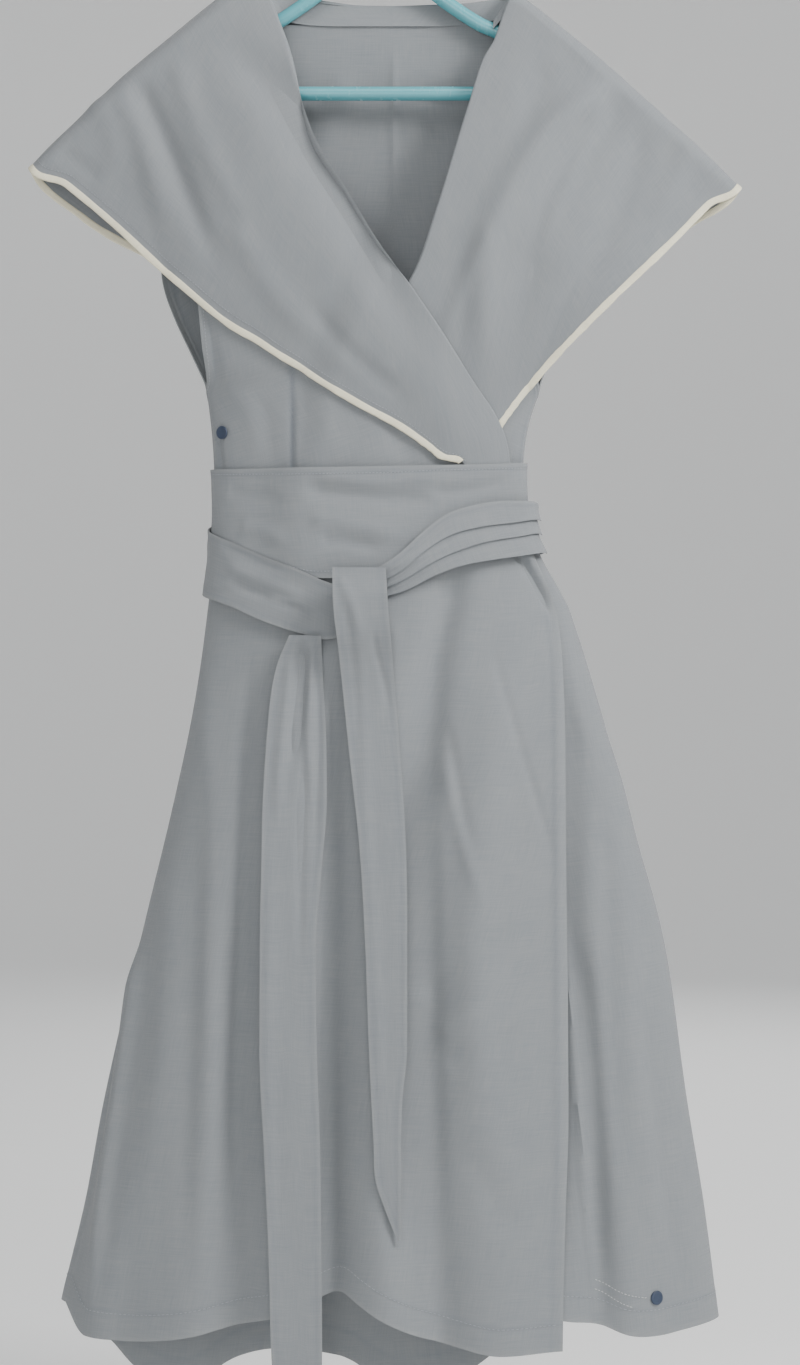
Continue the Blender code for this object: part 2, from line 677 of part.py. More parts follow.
class Collar:
    """One side of the cape collar: a fall, a small roll at the neck, a stand and a piping."""

    def __init__(self, ribs, feet, hand):
        self.hand = hand
        self.last = len(ribs) - 1
        runs = []
        for rib in ribs:
            starts = []
            for x, drop in ((rib.roll_x, rib.roll_drop), (rib.edge_x, rib.edge_drop)):
                fall = max(drop - float(collar_ridge(x)), 0.0)
                starts.append(rib.side * float(run_for_fall(fall, COLLAR_FOLD)))
            runs.append(rib._replace(roll_drop=starts[0], edge_drop=starts[1]))
        self.roll_x = curve(runs, None, "roll_x")
        self.edge_x = curve(runs, None, "edge_x")
        self.roll_run = curve(runs, None, "roll_drop")
        self.edge_run = curve(runs, None, "edge_drop")
        self.foot_x = curve(feet, None, "x")
        self.foot_drop = curve(feet, None, "drop")
        self.foot_y = curve(feet, None, "y")

    def lift(self, rib, x, run, across):
        """Layer distance and the soft belly of the fall."""
        ends = smooth(rib / 2.0 + 0.4) * smooth((self.last - rib) / 3.0)
        belly = BELLY * ends * np.sin(np.clip(across, 0, 1) * HALF_TURN)
        drop = collar_ridge(x) + np.abs(run)
        in_front = smooth((rib - SHOULDER_RIB) / 3.0)
        layer = over_lift(x, drop) * in_front if self.hand < 0 else 0.0
        if self.hand > 0:
            belly = belly * UNDER_BELLY_SHARE * smooth((11 - rib) / 4)
        return belly + layer

    def fall(self, rib, across, extra=0.0):
        """Point of the fall on a rib, from the neck fold at 0 to the edge at 1."""
        x = self.roll_x(rib) + (self.edge_x(rib) - self.roll_x(rib)) * across
        run = self.roll_run(rib) + (self.edge_run(rib) - self.roll_run(rib)) * across
        point, normal = self.frame(x, run)
        lift = self.lift(rib, x, run, across) + extra
        return point + normal * np.asarray(lift)[..., None]

    def frame(self, x, run):
        """Point and outward normal of the bare tent."""
        return collar_point(x, run), surface_normal(collar_point, x, run, 0.4, 0.4)

    def normal(self, rib, across):
        """Outward normal of the tent at a place of the fall."""
        x = self.roll_x(rib) + (self.edge_x(rib) - self.roll_x(rib)) * across
        run = self.roll_run(rib) + (self.edge_run(rib) - self.roll_run(rib)) * across
        return surface_normal(collar_point, x, run, 0.4, 0.4)

    def rib_position(self, u):
        """Rib number for u from 0 to 1, just off the centre back seam."""
        return CENTRE_GAP + (self.last - CENTRE_GAP) * u

    def surface(self, u, v):
        """Whole collar: v up to ROLL_SHARE turns round the neck fold, then it falls."""
        rib = self.rib_position(u)
        across = np.maximum((v - ROLL_SHARE) / (1 - ROLL_SHARE), 0)
        flat = self.fall(rib, across)
        start = self.fall(rib, 0 * across)
        ahead = start - self.fall(rib, 0 * across + 0.02)
        ahead /= np.linalg.norm(ahead, axis=-1, keepdims=True)
        normal = self.normal(rib, 0 * across)
        turn = (HALF_TURN * np.clip(1 - v / ROLL_SHARE, -0.05, 1.05))[..., None]
        rolled = start - normal * ROLL_RADIUS * (1 - np.cos(turn)) + ahead * ROLL_RADIUS * np.sin(turn)
        return np.where((v < ROLL_SHARE)[..., None], rolled, flat)

    def stand_surface(self, u, v):
        """Inner neck band, from just below the neck fold down to the neck seam."""
        rib = self.rib_position(u * STAND_RIBS / self.last)
        inner = (2 * ROLL_RADIUS + 2.4 * smooth((rib - 2.5) / 2))[..., None]
        top = self.fall(rib, 0 * rib) - self.normal(rib, 0 * rib) * inner
        foot = np.stack([self.foot_x(rib), self.foot_y(rib), -self.foot_drop(rib)], axis=-1)
        down = foot - top
        tall = np.linalg.norm(down, axis=-1, keepdims=True)
        gap = 2 * SEAM
        return top + down * (gap + v[..., None] * (tall - gap)) / tall

    def piping_path(self):
        """Middle points, outward and across directions of the trim along the edge."""
        rib = self.rib_position(np.array(COLLAR_COLUMNS))
        rib = rib[rib < PIPING_END]
        edge = self.fall(rib, 0 * rib + 1.0)
        ahead = self.fall(rib + 0.02, 0 * rib + 1.0) - self.fall(rib - 0.02, 0 * rib + 1.0)
        ahead /= np.linalg.norm(ahead, axis=-1, keepdims=True)
        normal = self.normal(rib, 0 * rib + 1.0)
        outward = np.cross(ahead, normal)
        outward /= np.linalg.norm(outward, axis=-1, keepdims=True)
        inner = self.fall(rib, 0 * rib + 0.96) - edge
        flip = np.where(np.sum(outward * inner, axis=-1) > 0, -1.0, 1.0)
        outward *= flip[:, None]
        return edge + outward * (SEAM + PIPING_WIDTH / 2), outward, normal

    def make(self):
        """Build the collar, its stand and its piping."""
        side = "left" if self.hand < 0 else "right"
        across = [0, ROLL_SHARE / 2] + list(ROLL_SHARE + (1 - ROLL_SHARE) * graded(8))
        sheet("collar_" + side, self.surface, COLLAR_COLUMNS, across)
        sheet("collar_stand_" + side, self.stand_surface, graded(12), graded(3))
        centres, outward, normal = self.piping_path()
        section = [(-0.5, 0.0), (-0.25, 0.5), (0.25, 0.5), (0.5, 0.0), (0.25, -0.5), (-0.25, -0.5)]
        points = []
        for centre, out, up in zip(centres, outward, normal):
            for wide, high in section:
                points.append(centre + out * PIPING_WIDTH * wide + up * PIPING_DEPTH * high)
        sides = len(section)
        faces = [tuple(range(sides)), tuple(range(len(points) - sides, len(points)))[::-1]]
        for ring in range(len(centres) - 1):
            for corner in range(sides):
                a = ring * sides + corner
                b = ring * sides + (corner + 1) % sides
                faces.append((b, a, a + sides, b + sides))
        closed_mesh("piping_" + side, points, faces, *TRIM)


def skirt_surface(angle_at, hem_rows, lift):
    """Surface of a skirt panel; angle_at gives its angle for u and a drop."""
    hem = curve(hem_rows, "x", "drop")

    def surface(u, v):
        low = hem(body_x(angle_at(u, 1290.0), 1290.0))
        top = WAIST_SEAM + SEAM / 2
        drop = top + (low - top) * v
        angle = angle_at(u, drop)
        return body_at(angle, drop, lift(body_x(angle, drop), drop))
    return surface


def skirt_over_lift(x, drop):
    """The over skirt lies on the under skirt except near the left seam."""
    top = over_lift(x, drop)
    low = SKIRT_OVER_LIFT * smooth((x - UNDER_EDGE + 46) / 40)
    return top + (low - top) * smooth((drop - WAIST_SEAM) / 60)


def skirt_over_angle(u, drop):
    """From the left side seam to the free edge."""
    side = HALF_TURN + seam_angle(drop, "front")
    edge = front_angle(curve(OVER_EDGE, "drop", "x")(drop), drop)
    return side + (edge - side) * u


def skirt_under_angle(u, drop):
    """From the hidden edge near the middle to the right side seam."""
    side = 2 * HALF_TURN - seam_angle(drop, "front")
    edge = front_angle(UNDER_EDGE, drop)
    return edge + (side - edge) * u


def make_skirt():
    """The over and under fronts and the two backs."""
    rows = graded(15)
    sheet("skirt_front_over", skirt_surface(skirt_over_angle, OVER_HEM, skirt_over_lift),
          graded(38, 1.15), rows)
    sheet("skirt_front_under", skirt_surface(skirt_under_angle, UNDER_HEM, no_lift),
          close_at_end(23), rows)
    sheet("skirt_back_left", skirt_surface(back_left_angle, BACK_HEM, no_lift),
          close_at_end(15), rows)
    sheet("skirt_back_right", skirt_surface(back_right_angle, BACK_HEM, no_lift),
          close_at_start(15), rows)


def band_surface(rows, step):
    """Surface of a stretch of sash whose edges and lift are in a table."""
    top = curve(rows, "angle", "top")
    bottom = curve(rows, "angle", "bottom")
    out = curve(rows, "angle", "lift")
    first = rows[0].angle
    span = rows[-1].angle - first

    def surface(u, v):
        degrees = first + span * u
        angle = np.radians(degrees)
        drop = top(degrees) + (bottom(degrees) - top(degrees)) * v
        return body_at(angle, drop, band_lift(angle, drop) + step * out(degrees))
    return surface


def make_sash():
    """The wide wrap round the waist, the ties that leave it, the knot and the tails."""
    sheet("sash_wrap_front", band_surface(WRAP_FRONT, 0), close_at_both(28), graded(4))
    sheet("sash_wrap_back", band_surface(WRAP_BACK, 0), close_at_both(20), graded(4))
    sheet("sash_tie_left", band_surface(TIE_LEFT, TIE_STEP), graded(14), graded(4))
    sheet("sash_strand_low", band_surface(STRAND_LOW, TIE_STEP), close_at_end(15), graded(3))
    sheet("sash_strand_middle", band_surface(STRAND_MIDDLE, TIE_STEP), close_at_end(15), graded(3))
    sheet("sash_strand_top", band_surface(STRAND_TOP, TIE_STEP), close_at_end(15), graded(3))
    make_knot()
    sheet("sash_tail_centre", tail_surface(TAIL_CENTRE, knot_cover), graded(4), graded(20, 1.2))
    sheet("sash_tail_left", tail_surface(TAIL_LEFT, no_cover), graded(4), graded(16))


def front_y(x, drop):
    """Foremost cloth at a place on the front: over skirt below, sash above."""
    angle = front_angle(x, drop)
    skirt = body_at(angle, drop, skirt_over_lift(x, drop))[..., 1]
    wrap = body_at(angle, drop, band_lift(angle, drop) + 1.8 * TIE_STEP)[..., 1]
    share = smooth((drop - 676) / 30)
    return wrap + (skirt - wrap) * share


def knot_front():
    """How far forward the knot reaches."""
    x, drop = KNOT_CENTRE
    return float(front_y(np.array(x), np.array(drop))) - 2 * KNOT_SIZE[1] - KNOT_GAP


def knot_cover(drop):
    """Cloth in front of the knot: it leans over the knot and falls back below it."""
    below = smooth((drop - KNOT_CENTRE[1] - 4) / 90)
    above = smooth((KNOT_CENTRE[1] - drop + 2) / 26)
    return knot_front() - 2.0, np.maximum(below, above * 0.35)


def no_cover(drop):
    """A tail that starts flat on the skirt."""
    return 0.0, np.ones(np.shape(drop))


def tail_surface(rows, cover):
    """Surface of a hanging end that rests on the foremost ridges behind it."""
    left = curve(rows, "drop", "left")
    right = curve(rows, "drop", "right")
    first = rows[0].drop
    last = rows[-1].drop

    def surface(u, v):
        drop = first + (last - first) * v
        x = left(drop) + (right(drop) - left(drop)) * u
        reach = np.min([front_y(left(drop) + (right(drop) - left(drop)) * part, drop)
                        for part in (0.0, 0.25, 0.5, 0.75, 1.0)], axis=0) - TAIL_GAP
        front, share = cover(drop)
        y = reach * share + front * (1 - share)
        return np.stack([x, y, -drop], axis=-1)
    return surface


def make_knot():
    """The rounded lump of tied cloth behind the centre tail."""
    x0, drop0 = KNOT_CENTRE
    y0 = knot_front() + KNOT_SIZE[1]
    points = [(x0, y0, -drop0 + KNOT_SIZE[2])]
    rings, sides = KNOT_RINGS, KNOT_SIDES
    for ring in range(1, rings):
        tilt = HALF_TURN * ring / rings
        for side in range(sides):
            turn = 2 * HALF_TURN * side / sides
            points.append((x0 + KNOT_SIZE[0] * math.sin(tilt) * math.cos(turn),
                           y0 + KNOT_SIZE[1] * math.sin(tilt) * math.sin(turn),
                           -drop0 + KNOT_SIZE[2] * math.cos(tilt)))
    points.append((x0, y0, -drop0 - KNOT_SIZE[2]))
    last = len(points) - 1
    faces = []
    for side in range(sides):
        after = (side + 1) % sides
        faces.append((0, 1 + side, 1 + after))
        faces.append((last, last - sides + after, last - sides + side))
        for ring in range(rings - 2):
            a = 1 + ring * sides
            faces.append((a + side, a + sides + side, a + sides + after, a + after))
    closed_mesh("sash_knot", points, faces, *CLOTH)


def make_dot(name, dot):
    """A small round disc that lies on the cloth."""
    angle = np.radians(dot.angle)
    inner = WALL / 2 + SEAM
    centre = body_at(np.array(angle), np.array(dot.drop), np.array(inner))
    outer = body_at(np.array(angle), np.array(dot.drop), np.array(inner + DOT_THICKNESS))
    normal = (outer - centre) / DOT_THICKNESS
    across = np.cross(normal, (0.0, 0.0, 1.0))
    across /= np.linalg.norm(across)
    up = np.cross(normal, across)
    sides = 16
    points = []
    for level, share in ((centre, 1.0), (centre + normal * DOT_THICKNESS * 0.6, 1.0), (outer, 0.7)):
        for side in range(sides):
            turn = 2 * HALF_TURN * side / sides
            round_about = across * math.cos(turn) + up * math.sin(turn)
            points.append(level + round_about * dot.radius * share)
    faces = [tuple(range(sides)), tuple(range(3 * sides - 1, 2 * sides - 1, -1))]
    for ring in range(2):
        for side in range(sides):
            a = ring * sides + side
            b = ring * sides + (side + 1) % sides
            faces.append((b, a, a + sides, b + sides))
    closed_mesh(name, points, faces, *NAVY)


def make_hanger():
    """Hook with its stem, the two arms in one tube, and the bar with its turned ends."""
    radius = TUBE / 2
    stem_foot = HANGER_TOP - radius - SEAM
    hook_centre = HOOK_TUBE / 2 - HOOK_RADIUS
    hook = []
    for turn in range(205, -50, -15):
        bend = math.radians(turn)
        hook.append((HOOK_RADIUS * math.cos(bend), hook_centre + HOOK_RADIUS * math.sin(bend)))
    hook += STEM_KNOTS + [(0.0, -stem_foot)]
    tube("hanger_hook", round_path(hook, 32), HOOK_TUBE / 2, 8, PLASTIC)
    lean = math.radians(HANGER_ARM_END)
    end_x = HANGER_REACH + HANGER_END_TURN * math.cos(lean) - HANGER_JOINT * math.sin(lean)
    end_top = HANGER_BAR - HANGER_END_TURN * (1 + math.sin(lean)) - HANGER_JOINT * math.cos(lean)
    right = ARM_KNOTS + [(end_x, -end_top)]
    left = [(-x, z) for x, z in reversed(right)]
    tube("hanger_arms", round_path(left + [(0, -HANGER_TOP)] + right, 30), radius, 8, PLASTIC)
    bar = []
    for turn in np.linspace(HANGER_ARM_END, -90, 11):
        bend = math.radians(turn)
        bar.append((HANGER_REACH + HANGER_END_TURN * math.cos(bend),
                    -HANGER_BAR + HANGER_END_TURN * (1 + math.sin(bend))))
    half_bar = [(x, 0.0, z) for x, z in bar] + [(60.0, 0.0, -HANGER_BAR)]
    other = [(-x, y, z) for x, y, z in reversed(half_bar)]
    tube("hanger_bar", half_bar + other, radius, 8, PLASTIC)


def main():
    """Clear the scene and build every piece."""
    for thing in list(bpy.data.objects):
        bpy.data.objects.remove(thing, do_unlink=True)
    make_hanger()
    make_bodice()
    Collar(COLLAR_LEFT, STAND_LEFT, -1).make()
    Collar(COLLAR_RIGHT, STAND_RIGHT, 1).make()
    make_skirt()
    make_sash()
    make_dot("dot_bodice", DOT_BODICE)
    make_dot("dot_hem", DOT_HEM)


main()
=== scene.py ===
"""Looks of a wrap midi dress on a tubular hanger: chambray, cream binding, thread and plastic.

Lengths in the tables are millimetres and a mesh is scaled to metres when it is made. The
origin is the seat of the hanger's hook, +Z is up and the dress faces -Y. A drop is a distance
below the hook seat. An angle goes round the dress: 90 degrees is centre back, 180 the left
side, 270 centre front and 360 the right side, as the viewer sees them.
"""

import logging
import math
from dataclasses import dataclass, field
from enum import Enum
from typing import Callable, NamedTuple, Sequence

import bpy
import numpy as np
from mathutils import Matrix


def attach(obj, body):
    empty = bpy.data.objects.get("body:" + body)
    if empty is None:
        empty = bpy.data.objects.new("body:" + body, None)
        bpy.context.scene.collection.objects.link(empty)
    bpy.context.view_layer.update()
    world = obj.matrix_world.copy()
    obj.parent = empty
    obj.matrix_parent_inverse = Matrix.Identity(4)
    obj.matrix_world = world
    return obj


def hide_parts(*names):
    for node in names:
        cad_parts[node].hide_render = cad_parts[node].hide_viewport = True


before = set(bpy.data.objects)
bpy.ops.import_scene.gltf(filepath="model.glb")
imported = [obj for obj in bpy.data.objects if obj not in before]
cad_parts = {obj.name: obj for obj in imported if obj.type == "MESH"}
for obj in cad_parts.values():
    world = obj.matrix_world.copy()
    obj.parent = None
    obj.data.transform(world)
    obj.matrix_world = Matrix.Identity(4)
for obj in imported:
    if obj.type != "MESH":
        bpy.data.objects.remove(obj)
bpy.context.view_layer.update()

logging.basicConfig(level=logging.INFO, format="%(message)s")
LOG = logging.getLogger("dress")

MM = 0.001
SHELL = 0.8
PI = math.pi
TINY = 1e-9
Surface = Callable[[np.ndarray, np.ndarray], np.ndarray]
Colour = tuple[float, float, float, float]

COLLAR_LIFT = 3.2
OVER_LIFT = 5.6
SKIRT_OVER_LIFT = 2.6
BAND_LIFT = 10.6
BAND_SIDE_LIFT = 3.6
TIE_STEP = 2.3
BODY_FOLD = 8.5
COLLAR_FOLD = 12.0
RIDGE_ENDS = ((-103, 110), (117, 127))
RIDGE_SLOPES = (0.871, 0.872)
RIDGE_ROUND = 5.0
RIDGE_RISE = 3.0
NECK_SIDE = 86.0
SHOULDER_TOP = 144.0
SHOULDER_SLOPE = 0.455
RAMP = 220.0
WAIST_SEAM = 578.0
BAND_TOP = 541.0
CENTRE_BACK = 14.0
ROLL_SHARE = 0.05
FOLD_DEPTH = 1.3
ROLL_RADIUS = 1.6
WRAP_MARGIN = 5.4
PINNED_SHARE = 0.07
INNER_SHIFT = 0.37
HEM_EXTRA = 0.9
HEM_STEP = 3.2
STITCH_INSET = 2.4
SINK_WIDTH = 1.5
EDGE_WEAR = 0.5
# Painted shade in the groove just past a hem's doubled edge.
GROOVE_SHADE = 0.35
LOW_DROP = 1290.0
UNDER_HEM_DROP = 1276.0
SEAM_WIDTH = 2.3
SHOULDER_RIB = 5
LAST_RIB = 16


class Hold(Enum):
    """How a piece of cloth is held up."""

    HUNG = "hung"
    DRAPED = "draped"
    GATHERED = "gathered"
    FOLDED = "folded"


class Side(Enum):
    """Side of the dress as the viewer sees it."""

    LEFT = -1
    RIGHT = 1

    @property
    def word(self) -> str:
        """Name of the side in lower case."""
        return self.name.lower()


class Section(NamedTuple):
    """Half-widths and depths of the body's tube at one drop."""

    drop: float
    left: float
    right: float
    front: float
    back: float


class Fold(NamedTuple):
    """A long fold of the skirt from the waist to the hem."""

    x_waist: float
    x_hem: float
    width: float
    height: float
    start: float


class Armhole(NamedTuple):
    """Degrees that an armhole leaves free beside the side seam."""

    drop: float
    front: float
    back: float


class Rib(NamedTuple):
    """A line of the collar from its neck fold to its outer edge; side is -1 behind, 1 before."""

    side: int
    roll_x: float
    roll_drop: float
    edge_x: float
    edge_drop: float


class Foot(NamedTuple):
    """Where the neck band meets the neck seam."""

    x: float
    drop: float
    y: float


class Edge(NamedTuple):
    """Neck edges of both fronts at one drop."""

    drop: float
    left: float
    right: float


class Place(NamedTuple):
    """A place on the front or back as x and drop."""

    x: float
    drop: float


class Band(NamedTuple):
    """Edges and lift of a stretch of sash at one angle."""

    angle: float
    top: float
    bottom: float
    lift: float


class Tail(NamedTuple):
    """Edges of a hanging end of the sash at one drop."""

    drop: float
    left: float
    right: float


class Crease(NamedTuple):
    """A soft trough (negative) or ridge (positive) between two places of the cloth."""

    x0: float
    drop0: float
    x1: float
    drop1: float
    width: float
    height: float
    bow: float = 0.0


BODY = [
    Section(120, -262, 262, 34, 24), Section(204, -255, 255, 35, 25),
    Section(300, -222, 222, 37, 26), Section(361, -200, 196, 38, 26),
    Section(391, -188, 180, 38, 26), Section(419, -175, 167, 37, 26),
    Section(454, -157, 149, 36, 25), Section(471, -148, 141, 35, 25),
    Section(500, -143, 131, 34, 24), Section(541, -140, 126, 33, 24),
    Section(578, -139, 128, 34, 24), Section(614, -141, 141, 37, 26),
    Section(653, -145, 162, 41, 28), Section(740, -157, 191, 48, 32),
    Section(826, -175, 214, 54, 35), Section(938, -202, 246, 60, 38),
    Section(1086, -236, 268, 66, 42), Section(1172, -252, 282, 70, 44),
    Section(1256, -272, 293, 74, 46), Section(1360, -292, 306, 78, 48),
]
FRONT_FOLDS = [
    Fold(-96, -243, 15, 6, 900), Fold(-112, -170, 34, 7, 660), Fold(-92, -124, 20, -6, 660),
    Fold(-62, -78, 24, 9, 640), Fold(-30, -38, 19, -8, 630), Fold(4, 8, 25, 8, 640),
    Fold(38, 55, 20, -7, 630), Fold(82, 108, 40, 6, 660), Fold(150, 190, 16, -5, 800),
    Fold(158, 224, 22, 6, 760),
]
BACK_FOLDS = [
    Fold(-110, -226, 24, 8, 760), Fold(-80, -160, 26, -9, 700), Fold(-46, -92, 30, 9, 660),
    Fold(-18, -28, 22, -7, 660), Fold(20, 44, 28, 9, 660), Fold(56, 112, 24, -8, 690),
    Fold(92, 176, 30, 8, 720), Fold(120, 236, 20, -6, 800),
]
ARMHOLE = [
    Armhole(150, 47, 47), Armhole(183, 47, 47), Armhole(250, 46, 41), Armhole(320, 43, 28),
    Armhole(361, 39, 16), Armhole(391, 35, 13), Armhole(430, 26, 12), Armhole(455, 16, 9),
    Armhole(471, 0, 0), Armhole(600, 0, 0),
]
COLLAR_RIBS = {
    Side.LEFT: [
        Rib(-1, 14, 138, 14, 407), Rib(-1, -20, 137, -60, 404), Rib(-1, -55, 133, -130, 385),
        Rib(-1, -80, 124, -195, 352), Rib(-1, -96, 114, -255, 318), Rib(0, -103, 110, -298, 279),
        Rib(1, -98, 122, -265, 295), Rib(1, -92, 138, -223, 331), Rib(1, -82, 167, -170, 380),
        Rib(1, -67, 216, -110, 426), Rib(1, -49, 264, -60, 457), Rib(1, -23, 307, -15, 485),
        Rib(1, 3, 350, 20, 504), Rib(1, 33, 394, 43, 520), Rib(1, 72, 454, 56, 530),
        Rib(1, 104, 506, 70, 533), Rib(1, 112, 546, 77, 546),
    ],
    Side.RIGHT: [
        Rib(-1, 14, 138, 14, 407), Rib(-1, 50, 137, 85, 404), Rib(-1, 80, 135, 150, 386),
        Rib(-1, 102, 132, 212, 355), Rib(-1, 112, 129, 270, 325), Rib(0, 117, 127, 312, 297),
        Rib(1, 115, 136, 284, 312), Rib(1, 110, 150, 255, 342), Rib(1, 102, 172, 222, 374),
        Rib(1, 91, 192, 193, 402), Rib(1, 80, 229, 168, 427), Rib(1, 67, 272, 148, 448),
        Rib(1, 54, 316, 130, 469), Rib(1, 38, 366, 115, 488), Rib(1, 18, 405, 102, 506),
        Rib(1, -5, 460, 90, 522), Rib(1, -28, 546, 74, 547),
    ],
}
COLLAR_FEET = {
    Side.LEFT: [Foot(14, 152, 8.6), Foot(-20, 152, 8.6), Foot(-52, 151.5, 8.6), Foot(-74, 149, 8.2),
                Foot(-83, 145, 5.5), Foot(-87, 142.5, 0), Foot(-86, 145, -5.5), Foot(-84, 153, -9)],
    Side.RIGHT: [Foot(14, 152, 8.6), Foot(44, 152, 8.6), Foot(68, 151.5, 8.6), Foot(88, 149.5, 8.2),
                 Foot(98, 148.5, 5.5), Foot(102, 148, 0), Foot(101, 150, -5.5), Foot(100, 159, -9)],
}
NECKBAND_FLAT = {Side.LEFT: (0.135, 0.020), Side.RIGHT: (0.12, 0.0175)}
WRAP = [
    Edge(140, -88, 104), Edge(167, -83, 102), Edge(192, -75, 91), Edge(216, -67, 84),
    Edge(264, -49, 69), Edge(307, -23, 57), Edge(350, 3, 43), Edge(394, 33, 23),
    Edge(454, 72, -3), Edge(506, 104, -17), Edge(546, 112, -28), Edge(600, 114, -34),
]
OVER_EDGE = [Place(118, 570), Place(142, 640), Place(151, 660), Place(156, 688), Place(159, 740),
             Place(160, 826), Place(161, 1086), Place(158, 1182), Place(155, 1310)]
UNDER_EDGE = -12.0
OVER_HEM = [Place(-275, 1257), Place(-249, 1281), Place(-217, 1282), Place(-191, 1280),
            Place(-155, 1274), Place(-121, 1265), Place(-93, 1257), Place(-62, 1244),
            Place(-35, 1236), Place(-18, 1245), Place(0, 1256), Place(35, 1273), Place(71, 1282),
            Place(105, 1288), Place(156, 1286), Place(200, 1286)]
UNDER_HEM = [Place(-20, 1240), Place(60, 1250), Place(140, 1256), Place(160, 1262),
             Place(191, 1267), Place(216, 1276), Place(240, 1278), Place(265, 1275),
             Place(298, 1271)]
BACK_HEM = [Place(-275, 1257), Place(-249, 1284), Place(-232, 1300), Place(-208, 1324),
            Place(-170, 1342), Place(-122, 1318), Place(-75, 1313), Place(-34, 1315),
            Place(20, 1345), Place(64, 1340), Place(100, 1314), Place(140, 1272),
            Place(200, 1262), Place(298, 1270)]
SASH_BANDS = {
    "sash_wrap_front": [Band(183, 540, 614, 0), Band(222, 541, 620, 0), Band(250, 541, 636, 0),
                        Band(276, 540, 636, 0), Band(297, 539, 614, 0), Band(357, 534, 612, 0)],
    "sash_wrap_back": [Band(3, 534, 614, 0), Band(90, 541, 614, 0), Band(177, 540, 614, 0)],
    "sash_tie_left": [Band(160, 584, 640, 1), Band(180, 592, 648, 1), Band(213, 606, 660, 1),
                      Band(229, 618, 673, 1), Band(242, 629, 683, 1), Band(250, 638, 688, 1),
                      Band(258, 645, 682, 1), Band(264, 650, 674, 1)],
    "sash_strand_top": [Band(269, 629, 640, 3), Band(276, 619, 632, 3), Band(288, 597, 612, 3),
                        Band(297.4, 583, 601, 3), Band(310.5, 574, 594, 3),
                        Band(330, 570, 590, 3.2), Band(345, 570, 588, 3.6),
                        Band(359, 572, 588, 3.6)],
    "sash_strand_middle": [Band(269, 634, 646, 2), Band(276, 627, 639, 2), Band(288, 608, 624, 2),
                           Band(297.4, 598, 615, 2), Band(310.5, 589, 607, 2),
                           Band(330, 583, 602, 2), Band(345, 582, 600, 2.2),
                           Band(359, 583, 600, 2.2)],
    "sash_strand_low": [Band(269, 641, 652, 1), Band(276, 635, 647, 1), Band(288, 620, 634, 1),
                        Band(297.4, 611, 627, 1), Band(310.5, 603, 622, 1), Band(330, 597, 618, 1),
                        Band(345, 596, 616, 1), Band(359, 597, 615, 1)],
}
TAIL_CENTRE = [
    Tail(627, -37, 8), Tail(660, -36, 10), Tail(696, -32, 13), Tail(782, -23, 20),
    Tail(864, -14, 25), Tail(948, -9, 26), Tail(1031, -6, 26), Tail(1073, -4, 22),
    Tail(1110, -2, 21), Tail(1136, -1, 21), Tail(1165, 8, 21), Tail(1190, 18, 21.5),
]
TAIL_LEFT = [
    Tail(684, -74, -47), Tail(705, -83, -46), Tail(725, -88, -45), Tail(760, -92, -43),
    Tail(825, -96, -42), Tail(880, -97, -46), Tail(948, -98, -51), Tail(1031, -98, -50),
    Tail(1115, -94, -47), Tail(1198, -90, -46), Tail(1294, -87, -45), Tail(1322, -85, -45),
    Tail(1346, -62, -46),
]
TAIL_GAP = 2.2
KNOT_CENTRE = (-13.0, 650.0)
KNOT_SIZE = (20.0, 9.0, 20.0)


def smooth(value: np.ndarray) -> np.ndarray:
    """Ease from 0 to 1 as the value goes from 0 to 1."""
    t = np.clip(value, 0.0, 1.0)
    return t * t * (3 - 2 * t)


def unit(vectors: np.ndarray) -> np.ndarray:
    """Vectors of length one."""
    return vectors / np.maximum(np.linalg.norm(vectors, axis=-1, keepdims=True), TINY)


def round_turns(sides: int) -> np.ndarray:
    """Angles of points spaced evenly round a ring."""
    return np.arange(sides) * 2 * PI / sides


def soft_max(a: np.ndarray, b: np.ndarray, width: float) -> np.ndarray:
    """The larger of two values with the corner between them rounded."""
    return np.logaddexp(a / width, b / width) * width


def curve(rows: Sequence, key: str | None, column: str) -> Callable[[np.ndarray], np.ndarray]:
    """Make a smooth function through one column of a table.

    Args:
        rows: The table's rows.
        key: Column that orders the rows, or None to count them.
        column: Column that gives the values.

    Returns:
        A function of positions.
    """
    knots = np.array([i if key is None else getattr(row, key) for i, row in enumerate(rows)], float)
    values = np.array([getattr(row, column) for row in rows], float)
    steps = np.diff(values) / np.diff(knots)
    slopes = np.zeros(len(knots))
    slopes[0], slopes[-1] = steps[0], steps[-1]
    slopes[1:-1] = np.where(steps[:-1] * steps[1:] > 0, (steps[:-1] + steps[1:]) / 2, 0.0)
    limit = 3 * np.minimum(np.abs(steps[:-1]), np.abs(steps[1:]))
    slopes[1:-1] = np.clip(slopes[1:-1], -limit, limit)

    def at(position: np.ndarray) -> np.ndarray:
        """Value at each position.

        Args:
            position: Places along the key.

        Returns:
            The values.
        """
        where = np.clip(position, knots[0], knots[-1])
        index = np.clip(np.searchsorted(knots, where, side="right") - 1, 0, len(knots) - 2)
        span = knots[index + 1] - knots[index]
        t = (where - knots[index]) / span
        start = values[index] * (1 + 2 * t) * (1 - t) ** 2
        end = values[index + 1] * t * t * (3 - 2 * t)
        lean = slopes[index] * t * (1 - t) ** 2 - slopes[index + 1] * t * t * (1 - t)
        return start + end + span * lean
    return at


